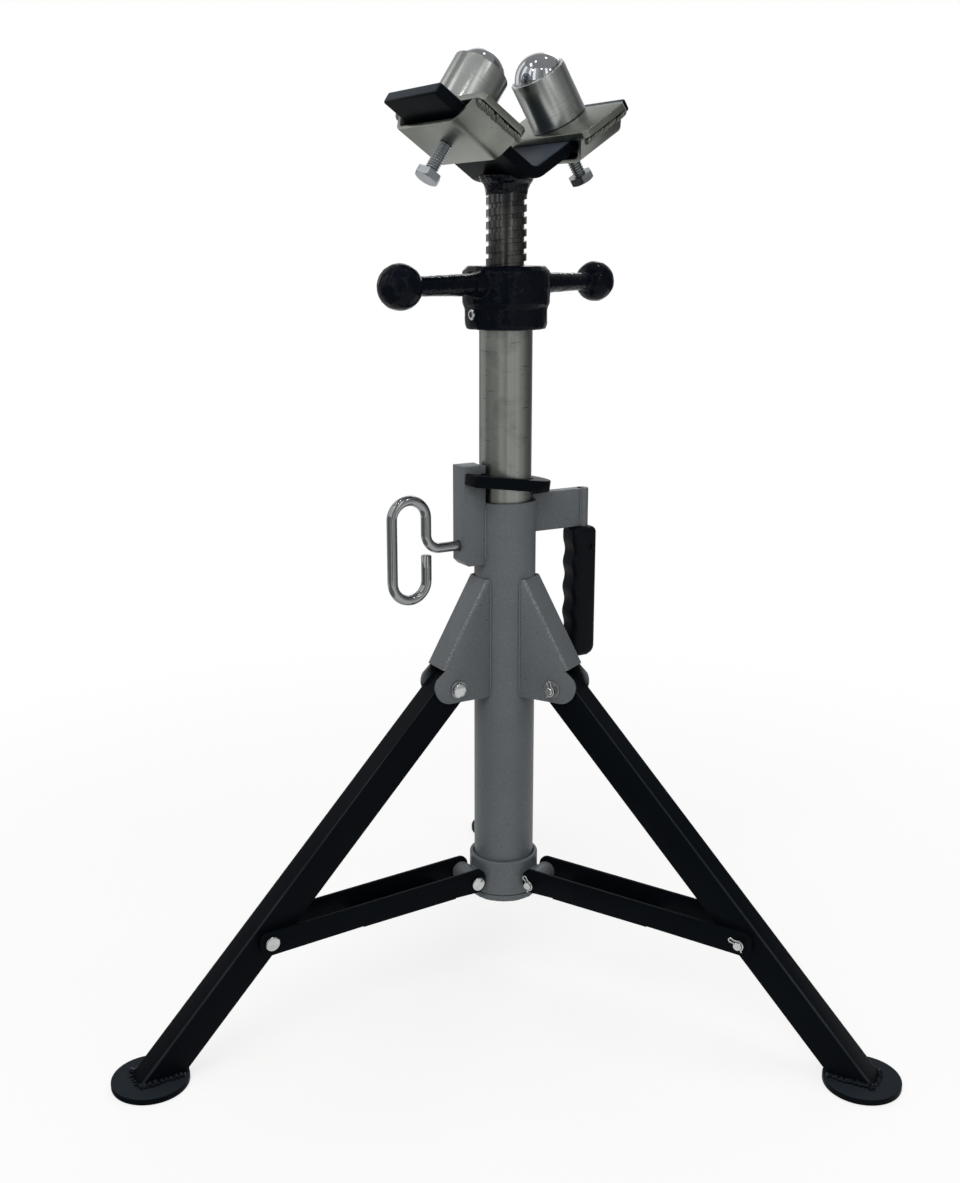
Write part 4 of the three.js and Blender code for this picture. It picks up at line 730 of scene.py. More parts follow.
footProfile = [(0, 0)] + arc(leg["footRadius"] - leg["footEdge"], leg["footEdge"], leg["footEdge"], -90, 0, 4)
footProfile += arc(leg["footRadius"] - leg["footEdge"], leg["foot"] - leg["footEdge"], leg["footEdge"], 0, 90, 4) + [(0, leg["foot"])]
footPiece = turnPiece("foot", footProfile)
place(footPiece, shift(leg["footAt"], 0, 0))

lean = math.radians(leg["angle"])
pinLine = leg["hub"] + (leg["hubZ"] - leg["foot"]) * math.tan(lean)  # where the pin line meets the foot
heel, toeEnd = pinLine - leg["inner"] / math.cos(lean), pinLine + leg["outer"] / math.cos(lean)
footBeads = []
for side in (-1, 1):
    y = side * (halfLeg + 1.2)
    footBeads.append(heavyBead("footBead", (heel + 1, y, leg["foot"] + 0.4), (toeEnd - 3, y, leg["foot"] + 0.4), leg["bead"], 51 + side,
                               leg["beadPitch"], 0.7))
footBeads.append(heavyBead("footBead", (toeEnd + 0.2, 5 - halfLeg, leg["foot"] + 0.2), (toeEnd + 0.2, halfLeg - 5, leg["foot"] + 0.2),
                           leg["bead"] * 0.6, 71, leg["beadPitch"], 0.7))
footWeld = joinPieces(footBeads[0], footBeads[1:])
for side, azimuth in legSides.items():
    piece = place(copyPiece(legPiece, "leg." + side), around(azimuth))
    handOver(piece, blackCoat, side + "_leg", ["leg_" + side])
    piece = place(copyPiece(footPiece, "foot." + side), around(azimuth))
    markDustAndTopLight(piece, 0.35)
    handOver(piece, blackCoat, side + "_leg", ["foot_" + side])
    piece = place(copyPiece(footWeld, "footWeld." + side), around(azimuth))
    handOver(piece, weldEnamel, side + "_leg", angle=60)
for spare in (legPiece, footPiece, footWeld):
    bpy.data.objects.remove(spare)
print("legs folded")

# ---- collar: a ring that slides on the column, with a round lug for each brace
collar = {"outer": 35, "bore": 31.05, "bottom": 111.3, "top": 147.9, "edge": 1.4, "lugAt": 42.4, "lugZ": 127.3,
          "lugRadius": 9.8, "lugHalf": 16.25, "neckHalf": 8.5, "neckHigh": 6.5, "voxel": 0.75}
collarProfile = [(collar["bore"], collar["bottom"])]
collarProfile += arc(collar["outer"] - collar["edge"], collar["bottom"] + collar["edge"], collar["edge"], -90, 0, 4)
collarProfile += arc(collar["outer"] - collar["edge"], collar["top"] - collar["edge"], collar["edge"], 0, 90, 4)
collarProfile += [(collar["bore"], collar["top"]), (collar["bore"], collar["bottom"])]
slideCollar = turnPiece("slideCollar", collarProfile, fineTurn * 2)
for azimuth in legSides.values():
    lugProfile = [(0, -collar["lugHalf"])] + arc(collar["lugRadius"] - 1, -collar["lugHalf"] + 1, 1, -90, 0, 3)
    lugProfile += arc(collar["lugRadius"] - 1, collar["lugHalf"] - 1, 1, 0, 90, 3) + [(0, collar["lugHalf"])]
    lug = turnPiece("collarLug", lugProfile, smallTurn)
    place(lug, turn("Z", azimuth - 90) @ shift(collar["lugAt"], 0, collar["lugZ"]) @ turn("X", -90))
    neckOutline = [(33, -collar["neckHigh"]), (collar["lugAt"], -collar["neckHigh"]), (collar["lugAt"], collar["neckHigh"]),
                   (33, collar["neckHigh"])]
    neck = platePiece("collarNeck", [(x, collar["neckHalf"], z) for x, z in neckOutline], (0, -2 * collar["neckHalf"], 0))
    place(neck, turn("Z", azimuth - 90) @ shift(0, 0, collar["lugZ"]))
    cutWith(slideCollar, lug, "UNION")
    cutWith(slideCollar, neck, "UNION")
change(slideCollar, "REMESH", mode="VOXEL", voxel_size=collar["voxel"] * mm)
change(slideCollar, "SMOOTH", factor=0.5, iterations=6)
place(slideCollar, Matrix.Translation(columnFoot))
handOver(slideCollar, greyEnamel, "collar", ["collar"], 60)
print("collar made")

# ---- braces: channels with the web underneath, pinned to the collar and to the legs
brace = {"at": 42.4, "z": 127.3, "legPin": 296.1, "half": 19.95, "wall": 3.2, "above": 14.5, "toeAbove": 10.5, "below": 10.5,
         "toeBelow": 13, "end": 11.5, "heel": 9, "round": 9, "webStart": 26, "webCut": 95, "bend": 1.2, "edge": 0.5}
legPinAt = leg["hub"] + brace["legPin"] * math.sin(lean)
legPinZ = leg["hubZ"] - brace["legPin"] * math.cos(lean)
braceLong = math.hypot(legPinAt - brace["at"], legPinZ - brace["z"])
braceDip = math.degrees(math.atan2(brace["z"] - legPinZ, legPinAt - brace["at"]))
braceSpot = shift(brace["at"], 0, brace["z"]) @ turn("Y", braceDip)
braceToe = braceLong + brace["end"]
fall = (brace["toeBelow"] - brace["below"]) / (braceToe + brace["heel"])


def underside(x):
    return -brace["below"] - fall * (x + brace["heel"])


webFrom, webTo = brace["webStart"], braceLong - brace["webCut"]
braceOutline = rounded([(-brace["heel"], -brace["below"], brace["round"]), (braceToe, -brace["toeBelow"], brace["round"]),
                        (braceToe, brace["toeAbove"], brace["round"]), (-brace["heel"], brace["above"], brace["round"])], 8)
braceOutline[9:9] = [(webFrom, underside(webFrom)), (webTo, underside(webTo))]
bracePiece = platePiece("brace", [(x, brace["half"], z) for x, z in braceOutline], (0, -2 * brace["half"], 0))
keepFaces(bracePiece, lambda middle, normal: abs(normal.y) > 0.9 or (normal.z < -0.9 and webFrom < middle.x < webTo))
bendEdges(bracePiece, lambda a, b: max(a.z, b.z) < -5 and abs(a.y - b.y) < 0.1 and min(a.x, b.x) > webFrom - 0.1
          and max(a.x, b.x) < webTo + 0.1 and abs(a.x - b.x) > 50, brace["bend"])
change(bracePiece, "SOLIDIFY", thickness=brace["wall"] * mm, offset=-1, use_even_offset=True)
breakEdges(bracePiece, brace["edge"], 2, 50)
for side, azimuth in legSides.items():
    piece = place(copyPiece(bracePiece, "brace." + side), around(azimuth) @ braceSpot)
    handOver(piece, blackCoat, side + "_brace", ["brace_" + side])
bpy.data.objects.remove(bracePiece)
print("braces folded")

# ---- clevis pins with domed heads, hub washers and hairpin clips
pin = {"radius": 4, "head": 7, "headThick": 3, "dome": 0.9, "tail": 8.5, "hole": 3.6, "clipHole": 1.2, "edge": 0.8,
       "seat": 0.3, "washer": 8.6, "washerThick": 1.5, "washerHole": 4.3, "wire": 0.8, "eye": 2.4, "twist": 1.7}


def clevisPin(name, tail, face, tailOpen=True):
    profile = [(0, tail), (pin["radius"] - pin["edge"], tail), (pin["radius"], tail + pin["edge"]), (pin["radius"], face)]
    profile += [(pin["head"] - 0.3, face), (pin["head"], face + 0.3), (pin["head"], face + pin["headThick"] - pin["dome"])]
    profile += [(pin["head"] - 0.5, face + pin["headThick"] - 0.4), (pin["head"] - 1.6, face + pin["headThick"] - 0.1)]
    profile += [(0, face + pin["headThick"])]
    piece = turnPiece(name, profile, smallTurn)
    place(piece, turn("X", -90))
    if tailOpen:
        cutWith(piece, barPiece("clipHole", pin["clipHole"], (-9, tail + pin["hole"], 0), (9, tail + pin["hole"], 0), 16))
    return piece


def hairpinClip(name, y):
    # one leg goes through the pin, then an eye, and the other leg hugs the pin
    eye, w = pin["eye"], pin["wire"]
    over = pin["radius"] + w + 0.2
    flat = [(over + 0.6, 0), (2, 0), (-2, 0), (-over - 0.4, 0)]
    flat += arc(-over - eye, eye, eye, -75, -255, 6) + [(-over * 0.86, over * 0.78)]
    flat += arc(0, 0, over, 120, -35, 6) + [(over + 0.4, -over * 0.85)]
    route = [Vector((x, y - pin["twist"] * min(1, max(0, i - 3) / 6), z)) for i, (x, z) in enumerate(flat)]
    points = []
    for i in range(len(route) - 1):  # a smooth curve through the bends of the wire
        p = [route[max(0, min(len(route) - 1, i + k))] for k in (-1, 0, 1, 2)]
        for k in range(5):
            t = k / 5
            points.append(0.5 * (2 * p[1] + (p[2] - p[0]) * t + (2 * p[0] - 5 * p[1] + 4 * p[2] - p[3]) * t * t
                                 + (3 * p[1] - p[0] - 3 * p[2] + p[3]) * t ** 3))
    points.append(route[-1])
    return wirePiece(name, points, [w] * len(points))


hubTail, braceTail = -bracket["half"] - pin["tail"], -brace["half"] - pin["tail"]
hubFace = bracket["half"] + pin["washerThick"] + 2 * pin["seat"]
braceFace = brace["half"] + pin["seat"]
hubPin = clevisPin("hubPin", hubTail, hubFace)
hubClip = hairpinClip("hubClip", hubTail + pin["hole"])
collarPin = clevisPin("collarPin", braceTail, braceFace)
braceClip = hairpinClip("braceClip", braceTail + pin["hole"])
pinHead = clevisPin("bracePinHead", brace["half"] - brace["wall"], braceFace, False)
tailEnd = -brace["half"] + brace["wall"]
tailProfile = [(0, braceTail), (pin["radius"] - pin["edge"], braceTail), (pin["radius"], braceTail + pin["edge"]),
               (pin["radius"], tailEnd), (0, tailEnd)]
pinTail = turnPiece("bracePinTail", tailProfile, smallTurn)
place(pinTail, turn("X", -90))
cutWith(pinTail, barPiece("clipHole", pin["clipHole"], (-9, braceTail + pin["hole"], 0), (9, braceTail + pin["hole"], 0), 16))
washerProfile = [(pin["washerHole"], 0), (pin["washer"] - 0.3, 0), (pin["washer"], 0.3), (pin["washer"], pin["washerThick"] - 0.3),
                 (pin["washer"] - 0.3, pin["washerThick"]), (pin["washerHole"], pin["washerThick"]), (pin["washerHole"], 0)]
hubWasher = turnPiece("hubWasher", washerProfile, smallTurn)
place(hubWasher, shift(0, bracket["half"] + pin["seat"], 0) @ turn("X", -90))
legPinSpot = braceSpot @ shift(braceLong, 0, 0)
hubBack = copyPiece(hubWasher, "hubBackWasher")
place(hubBack, shift(0, -2 * bracket["half"] - 2 * pin["seat"] - pin["washerThick"], 0))
fittings = [  # piece, its pin, how far the clip is turned, body, node
    (hubPin, hubSpot, 70, "column", "hub_pin_"), (hubClip, hubSpot, 70, "column", "hub_pin_clip_"),
    (hubWasher, hubSpot, 0, "column", "hub_washer_"), (hubBack, hubSpot, 0, "column", "hubBackWasher"),
    (collarPin, braceSpot, 48, "collar", "collar_pin_"), (braceClip, braceSpot, 48, "collar", "collar_pin_clip_"),
    (pinHead, legPinSpot, 0, "brace", "brace_pin_head_"), (pinTail, legPinSpot, 12, "brace", "brace_pin_tail_"),
    (braceClip, legPinSpot, 12, "brace", "brace_pin_clip_"),
]
for fitting, spot, tilt, body, node in fittings:
    for side, azimuth in legSides.items():
        label = "".join(word.title() for word in node.split("_")) if "_" in node else node
        piece = place(copyPiece(fitting, label[0].lower() + label[1:] + "." + side), around(azimuth) @ spot @ turn("Y", tilt))
        finish = zincWasher if "asher" in node else brightSteel
        handOver(piece, finish, side + "_brace" if body == "brace" else body, [node + side] if "_" in node else [])
for spare in (hubPin, hubClip, hubWasher, hubBack, collarPin, braceClip, pinHead, pinTail):
    bpy.data.objects.remove(spare)
print("pins and clips fitted")

# ---- mast: inner tube with its row of locking holes
mast = {"outer": 25.4, "wall": 3.6, "bottom": 111.3, "top": 708, "hole": 5.5, "pitch": 50, "holes": 5}
bore = mast["outer"] - mast["wall"]
mastProfile = [(bore, mast["bottom"]), (mast["outer"], mast["bottom"]), (mast["outer"], mast["top"] - 0.6),
               (mast["outer"] - 0.6, mast["top"]), (bore, mast["top"]), (bore, mast["bottom"])]
mastTube = turnPiece("mastTube", mastProfile, fineTurn)
for i in range(mast["holes"]):
    z = boss["pinZ"] - i * mast["pitch"]
    cutWith(mastTube, barPiece("mastHole", mast["hole"], (-40, 0, z), (40, 0, z), 24))
place(mastTube, around(boss["azimuth"]))
handOver(mastTube, drawnSteel, "mast", ["inner_tube"], 30)

# ---- locking pin: a bent rod with an oval pull loop
loop = {"radius": 5, "tip": 26, "centre": 105.3, "half": 18, "top": 524.4, "bottom": 428.3, "bend": 14, "end": 470.5}
near, far = loop["centre"] - loop["half"], loop["centre"] + loop["half"]
route = [(loop["tip"], boss["pinZ"]), (loop["tip"] + 0.8, boss["pinZ"])]
route += [(loop["tip"] + 12 * k, boss["pinZ"]) for k in range(1, 4)]
route += arc(near - loop["bend"], boss["pinZ"] + loop["bend"], loop["bend"], -90, 0, 12)
route += arc(loop["centre"], loop["top"] - loop["half"], loop["half"], 180, 0, 28)
route += arc(loop["centre"], loop["bottom"] + loop["half"], loop["half"], 0, -180, 28)
route += [(near, loop["end"] - 0.8), (near, loop["end"])]
radii = [loop["radius"] - 0.8] + [loop["radius"]] * (len(route) - 2) + [loop["radius"] - 0.8]
lockPin = wirePiece("lockPin", [(x, 0, z) for x, z in route], radii)
place(lockPin, around(boss["azimuth"]))
handOver(lockPin, rodSteel, "lock_pin", ["locking_pin"], 50)

# ---- friction plate round the mast
plate = {"azimuth": 120, "thick": 11, "half": 32, "near": 52, "far": 40, "round": 14.4, "z": 534.7, "tilt": 8.4, "bore": 27.0,
         "notchHalf": 12, "notchEnd": 33.75, "edge": 0.9}
platePlan = arc(plate["round"], 0, plate["half"], -90, 90, 40)
platePlan += [(-plate["far"], plate["half"]), (-plate["far"], plate["notchHalf"]), (-plate["notchEnd"], plate["notchHalf"]),
              (-plate["notchEnd"], -plate["notchHalf"]), (-plate["near"], -plate["notchHalf"]), (-plate["near"], -plate["half"])]
frictionPlate = platePiece("frictionPlate", [(x, y, -plate["thick"] / 2) for x, y in platePlan], (0, 0, plate["thick"]))
breakEdges(frictionPlate, plate["edge"])
cutWith(frictionPlate, barPiece("plateBore", plate["bore"], (0, 0, -20), (0, 0, 20), fineTurn))
place(frictionPlate, around(plate["azimuth"]) @ shift(0, 0, plate["z"]) @ turn("Y", plate["tilt"]))
handOver(frictionPlate, blackCoat, "brake_plate", ["friction_plate"])
print("mast, pin and plate made")

# ---- jack nut: a cast body with two round arms and ball ends
nut = {"azimuth": 142.2, "bottom": 680, "top": 738, "skirt": 37.5, "body": 41.5, "waist": 704, "shoulder": 5, "root": 13,
       "rootStart": 34, "rootEnd": 54, "arm": 10.2, "armZ": 721.4, "armHalf": 151.3, "tip": 8.2, "ball": 20, "screwBore": 19.6, "mastBore": 25.9,
       "pocket": 711.8, "voxel": 1.0, "lump": 8, "push": 0.9}
bodyProfile = [(0, nut["bottom"]), (nut["skirt"], nut["bottom"]), (nut["skirt"] + 1.4, nut["bottom"] + 5),
               (nut["skirt"] + 1.6, nut["waist"] - 5), (nut["body"], nut["waist"]), (nut["body"], nut["top"] - nut["shoulder"]),
               (nut["body"] - nut["shoulder"], nut["top"]), (0, nut["top"])]
jackNut = turnPiece("jackNut", bodyProfile, fineTurn)
armSpot = turn("Z", nut["azimuth"] - 90) @ shift(0, 0, nut["armZ"]) @ turn("Y", 90)
for end in (0, 180):
    armProfile = [(0, 0), (nut["root"], 0), (nut["root"], nut["rootStart"]), (nut["arm"], nut["rootEnd"]), (nut["tip"], nut["armHalf"] - 6), (nut["tip"], nut["armHalf"]), (0, nut["armHalf"])]
    cutWith(jackNut, place(turnPiece("nutArm", armProfile, smallTurn), turn("Z", end) @ armSpot), "UNION")
    ballProfile = [(abs(x), z) for x, z in arc(0, nut["armHalf"], nut["ball"], -90, 90, 32)]
    cutWith(jackNut, place(turnPiece("nutBall", ballProfile, 64), turn("Z", end) @ armSpot), "UNION")
change(jackNut, "REMESH", mode="VOXEL", voxel_size=nut["voxel"] * mm)
change(jackNut, "SMOOTH", factor=0.5, iterations=14)
sandLumps = bpy.data.textures.new("sandLumps", "CLOUDS")
sandLumps.noise_scale = nut["lump"] * mm
change(jackNut, "DISPLACE", texture=sandLumps, strength=nut["push"] * mm, mid_level=0.5, texture_coords="LOCAL")
cutWith(jackNut, barPiece("nutScrewBore", nut["screwBore"], (0, 0, nut["bottom"] - 10), (0, 0, nut["top"] + 10), fineTurn))
cutWith(jackNut, barPiece("nutPocket", nut["mastBore"], (0, 0, nut["bottom"] - 10), (0, 0, nut["pocket"]), fineTurn))
setScrew = {"azimuth": -55, "z": 694, "radius": 5, "tip": 25.7, "end": 40.4, "socket": 2.9, "depth": 4.5, "edge": 0.7}
screwHole = barPiece("setScrewHole", setScrew["radius"] + 0.3, (26, 0, setScrew["z"]), (60, 0, setScrew["z"]))
cutWith(jackNut, place(screwHole, turn("Z", setScrew["azimuth"] - 90)))
place(jackNut, Matrix.Translation(columnFoot))
handOver(jackNut, castEnamel, "nut", ["jack_nut"], 50)

grubProfile = [(0, setScrew["tip"]), (setScrew["radius"], setScrew["tip"]), (setScrew["radius"], setScrew["end"] - setScrew["edge"]),
               (setScrew["radius"] - setScrew["edge"], setScrew["end"]), (0, setScrew["end"])]
grubScrew = turnPiece("grubScrew", grubProfile, smallTurn)
cutWith(grubScrew, turnPiece("grubSocket", [(0, setScrew["end"] - setScrew["depth"]), (setScrew["socket"], setScrew["end"] - setScrew["depth"]),
                                            (setScrew["socket"], setScrew["end"] + 5), (0, setScrew["end"] + 5)], 6))
place(grubScrew, around(setScrew["azimuth"]) @ shift(0, 0, setScrew["z"]) @ turn("Y", 90))
handOver(grubScrew, brightSteel, "nut", ["nut_set_screw"])
print("nut cast")

# ---- jack screw: a square thread, and the weld that holds the V head
screw = {"crest": 19.1, "root": 16.8, "pitch": 11, "land": 6.4, "flank": 0.5, "shankFoot": 545, "threadFoot": 622, "threadTop": 801,
         "top": 813}
threadStart = screw["threadFoot"] - 2 * screw["pitch"]
threadProfile = [(screw["crest"], 0), (screw["crest"], screw["land"]), (screw["root"], screw["land"] + screw["flank"]),
                 (screw["root"], screw["pitch"] - screw["flank"]), (screw["crest"], screw["pitch"])]
jackScrew = tracePath("jackScrew", [(r, 0, threadStart + z) for r, z in threadProfile])
bpy.ops.object.mode_set(mode="OBJECT")
turns = math.ceil((screw["threadTop"] - threadStart) / screw["pitch"]) + 2
change(jackScrew, "SCREW", angle=math.tau, screw_offset=screw["pitch"] * mm, iterations=turns, steps=64, render_steps=64,
       use_merge_vertices=True, merge_threshold=0.002 * mm, use_smooth_shade=False)
bpy.ops.object.mode_set(mode="EDIT")
for height, facing in ((screw["threadFoot"], 1), (screw["threadTop"], -1)):
    bpy.ops.mesh.select_all(action="SELECT")
    bpy.ops.mesh.bisect(plane_co=(0, 0, height * mm), plane_no=(0, 0, facing), use_fill=True, clear_inner=True)
closeUp()
shankProfile = [(0, screw["shankFoot"]), (screw["root"] - 2, screw["shankFoot"]), (screw["root"], screw["shankFoot"] + 2),
                (screw["root"], screw["threadFoot"] + 0.5), (0, screw["threadFoot"] + 0.5)]
neckProfile = [(0, screw["threadTop"] - 0.5), (screw["crest"], screw["threadTop"] - 0.5), (screw["crest"], screw["top"]), (0, screw["top"])]
joinPieces(jackScrew, [turnPiece("screwShank", shankProfile), turnPiece("screwNeck", neckProfile)])
place(jackScrew, Matrix.Translation(columnFoot))
handOver(jackScrew, oiledSteel, "screw_head", ["jack_screw"], 30)

head = {"azimuth": 32, "lean": 0.8, "rootZ": 810.5, "wing": 33.4, "length": 124.9, "thick": 11.5, "width": 93, "bend": 8, "edge": 2.2}
headSpot = Matrix.Translation(columnFoot) @ shift(0, 0, head["rootZ"]) @ turn("Z", head["azimuth"]) @ turn("Y", head["lean"])
wing = math.radians(head["wing"])
tipX, tipZ = head["length"] * math.cos(wing), head["length"] * math.sin(wing)
overX, overZ = head["thick"] * math.sin(wing), head["thick"] * math.cos(wing)
headOutline = rounded([(0, 0, head["bend"] + head["thick"]), (tipX, tipZ, 0), (tipX - overX, tipZ + overZ, 0),
                       (0, head["thick"] / math.cos(wing), head["bend"]), (overX - tipX, tipZ + overZ, 0), (-tipX, tipZ, 0)], 12)
vHead = platePiece("vHead", [(x, head["width"] / 2, z) for x, z in headOutline], (0, -head["width"], 0))
breakEdges(vHead, head["edge"], 4, 40)
place(vHead, headSpot)
markDustAndTopLight(vHead, 1)
handOver(vHead, blackCoat, "screw_head", ["v_head"])

# lumpy fillet weld between the screw and the underside of the V, painted over
fillet = {"foot": 801.5, "waist": 806, "top": 819, "lump": 6, "push": 1.8}
filletProfile = [(15, fillet["foot"]), (19.2, fillet["foot"]), (19.9, fillet["waist"]), (21.6, fillet["waist"] + 5),
                 (24.6, fillet["top"] - 4), (25.5, fillet["top"]), (15, fillet["top"]), (15, fillet["foot"])]
headWeld = turnPiece("headWeld", filletProfile, fineTurn)
change(headWeld, "REMESH", mode="VOXEL", voxel_size=0.8 * mm)
lumps = bpy.data.textures.new("weldLumps", "CLOUDS")
lumps.noise_scale = fillet["lump"] * mm
change(headWeld, "DISPLACE", texture=lumps, strength=fillet["push"] * mm, mid_level=0.5, texture_coords="LOCAL")
change(headWeld, "SMOOTH", factor=0.5, iterations=3)
place(headWeld, Matrix.Translation(columnFoot))
handOver(headWeld, weldEnamel, "screw_head", angle=60)
print("screw and V head made")

# ---- saddles: top plate, bent strap, turned cup, ball and clamp bolt on each wing
saddle = {"at": {"left": 72.5, "right": 76}, "turn": {"left": 180, "right": 0}, "length": 53, "width": 152, "plate": 6.5, "corner": 4,
          "edge": 0.7, "seat": 0.3}
strap = {"wall": 4, "drop": 9.6, "floorHalf": 50.6, "topHalf": 67, "bend": 6, "edge": 0.6, "bead": 4.0, "beadPitch": 3.4}
housing = {"radius": 26.7, "height": 47, "offset": 5, "edge": 1.0, "ball": 24, "sink": 7, "play": 0.5}
bolt = {"radius": 6, "core": 4.9, "pitch": 2.4, "shank": {"left": 29, "right": 25}, "head": 12.4, "headThick": 7.5, "chamfer": 1.3}
deck = head["thick"] + saddle["seat"]
endX, endY = saddle["length"] / 2, saddle["width"] / 2
cut = saddle["corner"]
platePlan = [(endX, cut - endY), (endX, endY - cut), (endX - cut, endY), (cut - endX, endY), (-endX, endY - cut), (-endX, cut - endY),
             (cut - endX, -endY), (endX - cut, -endY)]
topPlate = platePiece("saddlePlate", [(x, y, deck) for x, y in platePlan], (0, 0, saddle["plate"]))
breakEdges(topPlate, saddle["edge"], 3)

strapLine = [(-strap["topHalf"], head["thick"]), (-strap["floorHalf"], -strap["drop"]), (strap["floorHalf"], -strap["drop"]),
             (strap["topHalf"], head["thick"])]
strapPiece = tracePath("saddleStrap", [(-endX, y, z) for y, z in strapLine])
bpy.ops.mesh.extrude_region_move(TRANSFORM_OT_translate={"value": (saddle["length"] * mm, 0, 0)})
bpy.ops.object.mode_set(mode="OBJECT")
bendEdges(strapPiece, lambda a, b: max(a.z, b.z) < 0 and abs(a.x - b.x) > 20, strap["bend"])
bpy.ops.object.mode_set(mode="EDIT")
bpy.ops.mesh.select_all(action="SELECT")
bpy.ops.mesh.normals_make_consistent(inside=False)
bpy.ops.object.mode_set(mode="OBJECT")
downwards = strapPiece.data.polygons[0].normal.z < 0 or min(face.normal.z for face in strapPiece.data.polygons) < -0.9
change(strapPiece, "SOLIDIFY", thickness=strap["wall"] * mm, offset=-1 if downwards else 1, use_even_offset=True)
breakEdges(strapPiece, strap["edge"], 2, 50)

rim = deck + saddle["plate"] + saddle["seat"] + housing["height"]
seat = housing["ball"] + housing["play"]
ballZ = rim - housing["sink"]
cupFoot = deck + saddle["plate"] + saddle["seat"]
rimAngle = math.degrees(math.asin(housing["sink"] / seat))
cupProfile = [(0, cupFoot), (housing["radius"] - 0.6, cupFoot), (housing["radius"], cupFoot + 0.6)]
cupProfile += arc(housing["radius"] - housing["edge"], rim - housing["edge"], housing["edge"], 0, 90, 4)
cupProfile += [(max(0, x), z) for x, z in arc(0, ballZ, seat, rimAngle, -90, 24)]
cupPiece = turnPiece("ballHousing", cupProfile, fineTurn)
place(cupPiece, shift(housing["offset"], 0, 0))
ballProfile = [(abs(x), z) for x, z in arc(0, ballZ, housing["ball"], -90, 90, 48)]
ballPiece = turnPiece("transferBall", ballProfile, fineTurn)
place(ballPiece, shift(housing["offset"], 0, 0))



def clampBolt(shank):
    # thread drawn coarser than the real one, so that it shows
    headTop = -strap["drop"] - shank
    ridge = [(bolt["core"], 0), (bolt["radius"], bolt["pitch"] * 0.4), (bolt["radius"], bolt["pitch"] * 0.6), (bolt["core"], bolt["pitch"])]
    piece = tracePath("clampBolt", [(r, 0, headTop - 2 * bolt["pitch"] + z) for r, z in ridge])
    bpy.ops.object.mode_set(mode="OBJECT")
    turns = math.ceil((shank + strap["drop"]) / bolt["pitch"]) + 4
    change(piece, "SCREW", angle=math.tau, screw_offset=bolt["pitch"] * mm, iterations=turns, steps=32, render_steps=32,
           use_merge_vertices=True, merge_threshold=0.002 * mm, use_smooth_shade=False)
    bpy.ops.object.mode_set(mode="EDIT")
    for height, facing in ((headTop - 0.5, 1), (-saddle["seat"], -1)):
        bpy.ops.mesh.select_all(action="SELECT")
        bpy.ops.mesh.bisect(plane_co=(0, 0, height * mm), plane_no=(0, 0, facing), use_fill=True, clear_inner=True)
    closeUp()
    foot = headTop - bolt["headThick"]
    boltHead = turnPiece("clampBoltHead", [(0, foot), (bolt["head"], foot), (bolt["head"], headTop), (0, headTop)], 6)
    hexCorner = bolt["head"] * math.cos(math.pi / 6)
    roundProfile = [(0, foot), (hexCorner - 0.2, foot), (bolt["head"] + 0.2, foot + bolt["chamfer"]), (bolt["head"] + 0.2, headTop - 0.5),
                    (bolt["head"] - 0.6, headTop), (0, headTop)]
    cutWith(boltHead, turnPiece("clampBoltChamfer", roundProfile, fineTurn), "INTERSECT")
    return joinPieces(piece, [boltHead])


strapBeads = []
for side in (-1, 1):
    edgeY, edgeZ = side * (strap["topHalf"] + 4.4), head["thick"] - 2.4
    strapBeads.append(heavyBead("strapBead", (3.5 - endX, edgeY, edgeZ), (endX - 3.5, edgeY, edgeZ), strap["bead"], 81 + side,
                                strap["beadPitch"], 0.4, 0.42, 46))
strapWeld = joinPieces(strapBeads[0], strapBeads[1:])
for side in ("left", "right"):
    spot = headSpot @ turn("Z", saddle["turn"][side]) @ turn("Y", -head["wing"]) @ shift(saddle["at"][side], 0, 0)
    cupFinish = turnedFinish("turned_steel_" + side, spot)
    boltPiece = clampBolt(bolt["shank"][side])
    fitted = [
        (topPlate, "saddlePlate.", zincPlate, "_saddle", "zinc_plate", ["saddle_plate_" + side]),
        (strapPiece, "saddleStrap.", zincPlate, "_saddle", "zinc_plate", ["saddle_strap_" + side]),
        (strapWeld, "saddleWeld.", zincWeld, "_saddle", "zinc_plate", []),
        (cupPiece, "ballHousing.", cupFinish, "_saddle", "turned_steel", ["ball_housing_" + side]),
        (boltPiece, "clampBolt.", zincBolt, "_bolt", "zinc_plate", ["clamp_bolt_" + side]),
        (ballPiece, "transferBall.", polishedBall, "_ball", "polished_ball", ["transfer_ball_" + side]),
    ]
    for piece, label, finish, body, slot, nodes in fitted:
        piece = place(copyPiece(piece, label + side), spot)
        handOver(piece, finish, side + body, nodes, 30)
    bpy.data.objects.remove(boltPiece)
for spare in (topPlate, strapPiece, strapWeld, cupPiece, ballPiece):
    bpy.data.objects.remove(spare)
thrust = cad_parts["thrust_washer"]
thrust.data.materials.clear()
thrust.data.materials.append(oiledSteel)
print("saddles fitted")

# ---- floor, studio light and camera
studio = {"paper": "#f3f3f1", "ground": 40, "fadeFrom": 0.3, "fadeTo": 1.3, "nearShare": 0.78, "ambient": 0.33, "ring": 1.7, "levels": (-0.02, 0.78, 2.5),
          "overhead": 2.6, "overheadSize": 3.6, "overheadGlow": 0.4}
bpy.ops.object.select_all(action="DESELECT")
bpy.ops.mesh.primitive_plane_add(size=studio["ground"], location=(0, 0, -0.4 * mm))
floor = bpy.context.object
floor.name = "studioFloor"
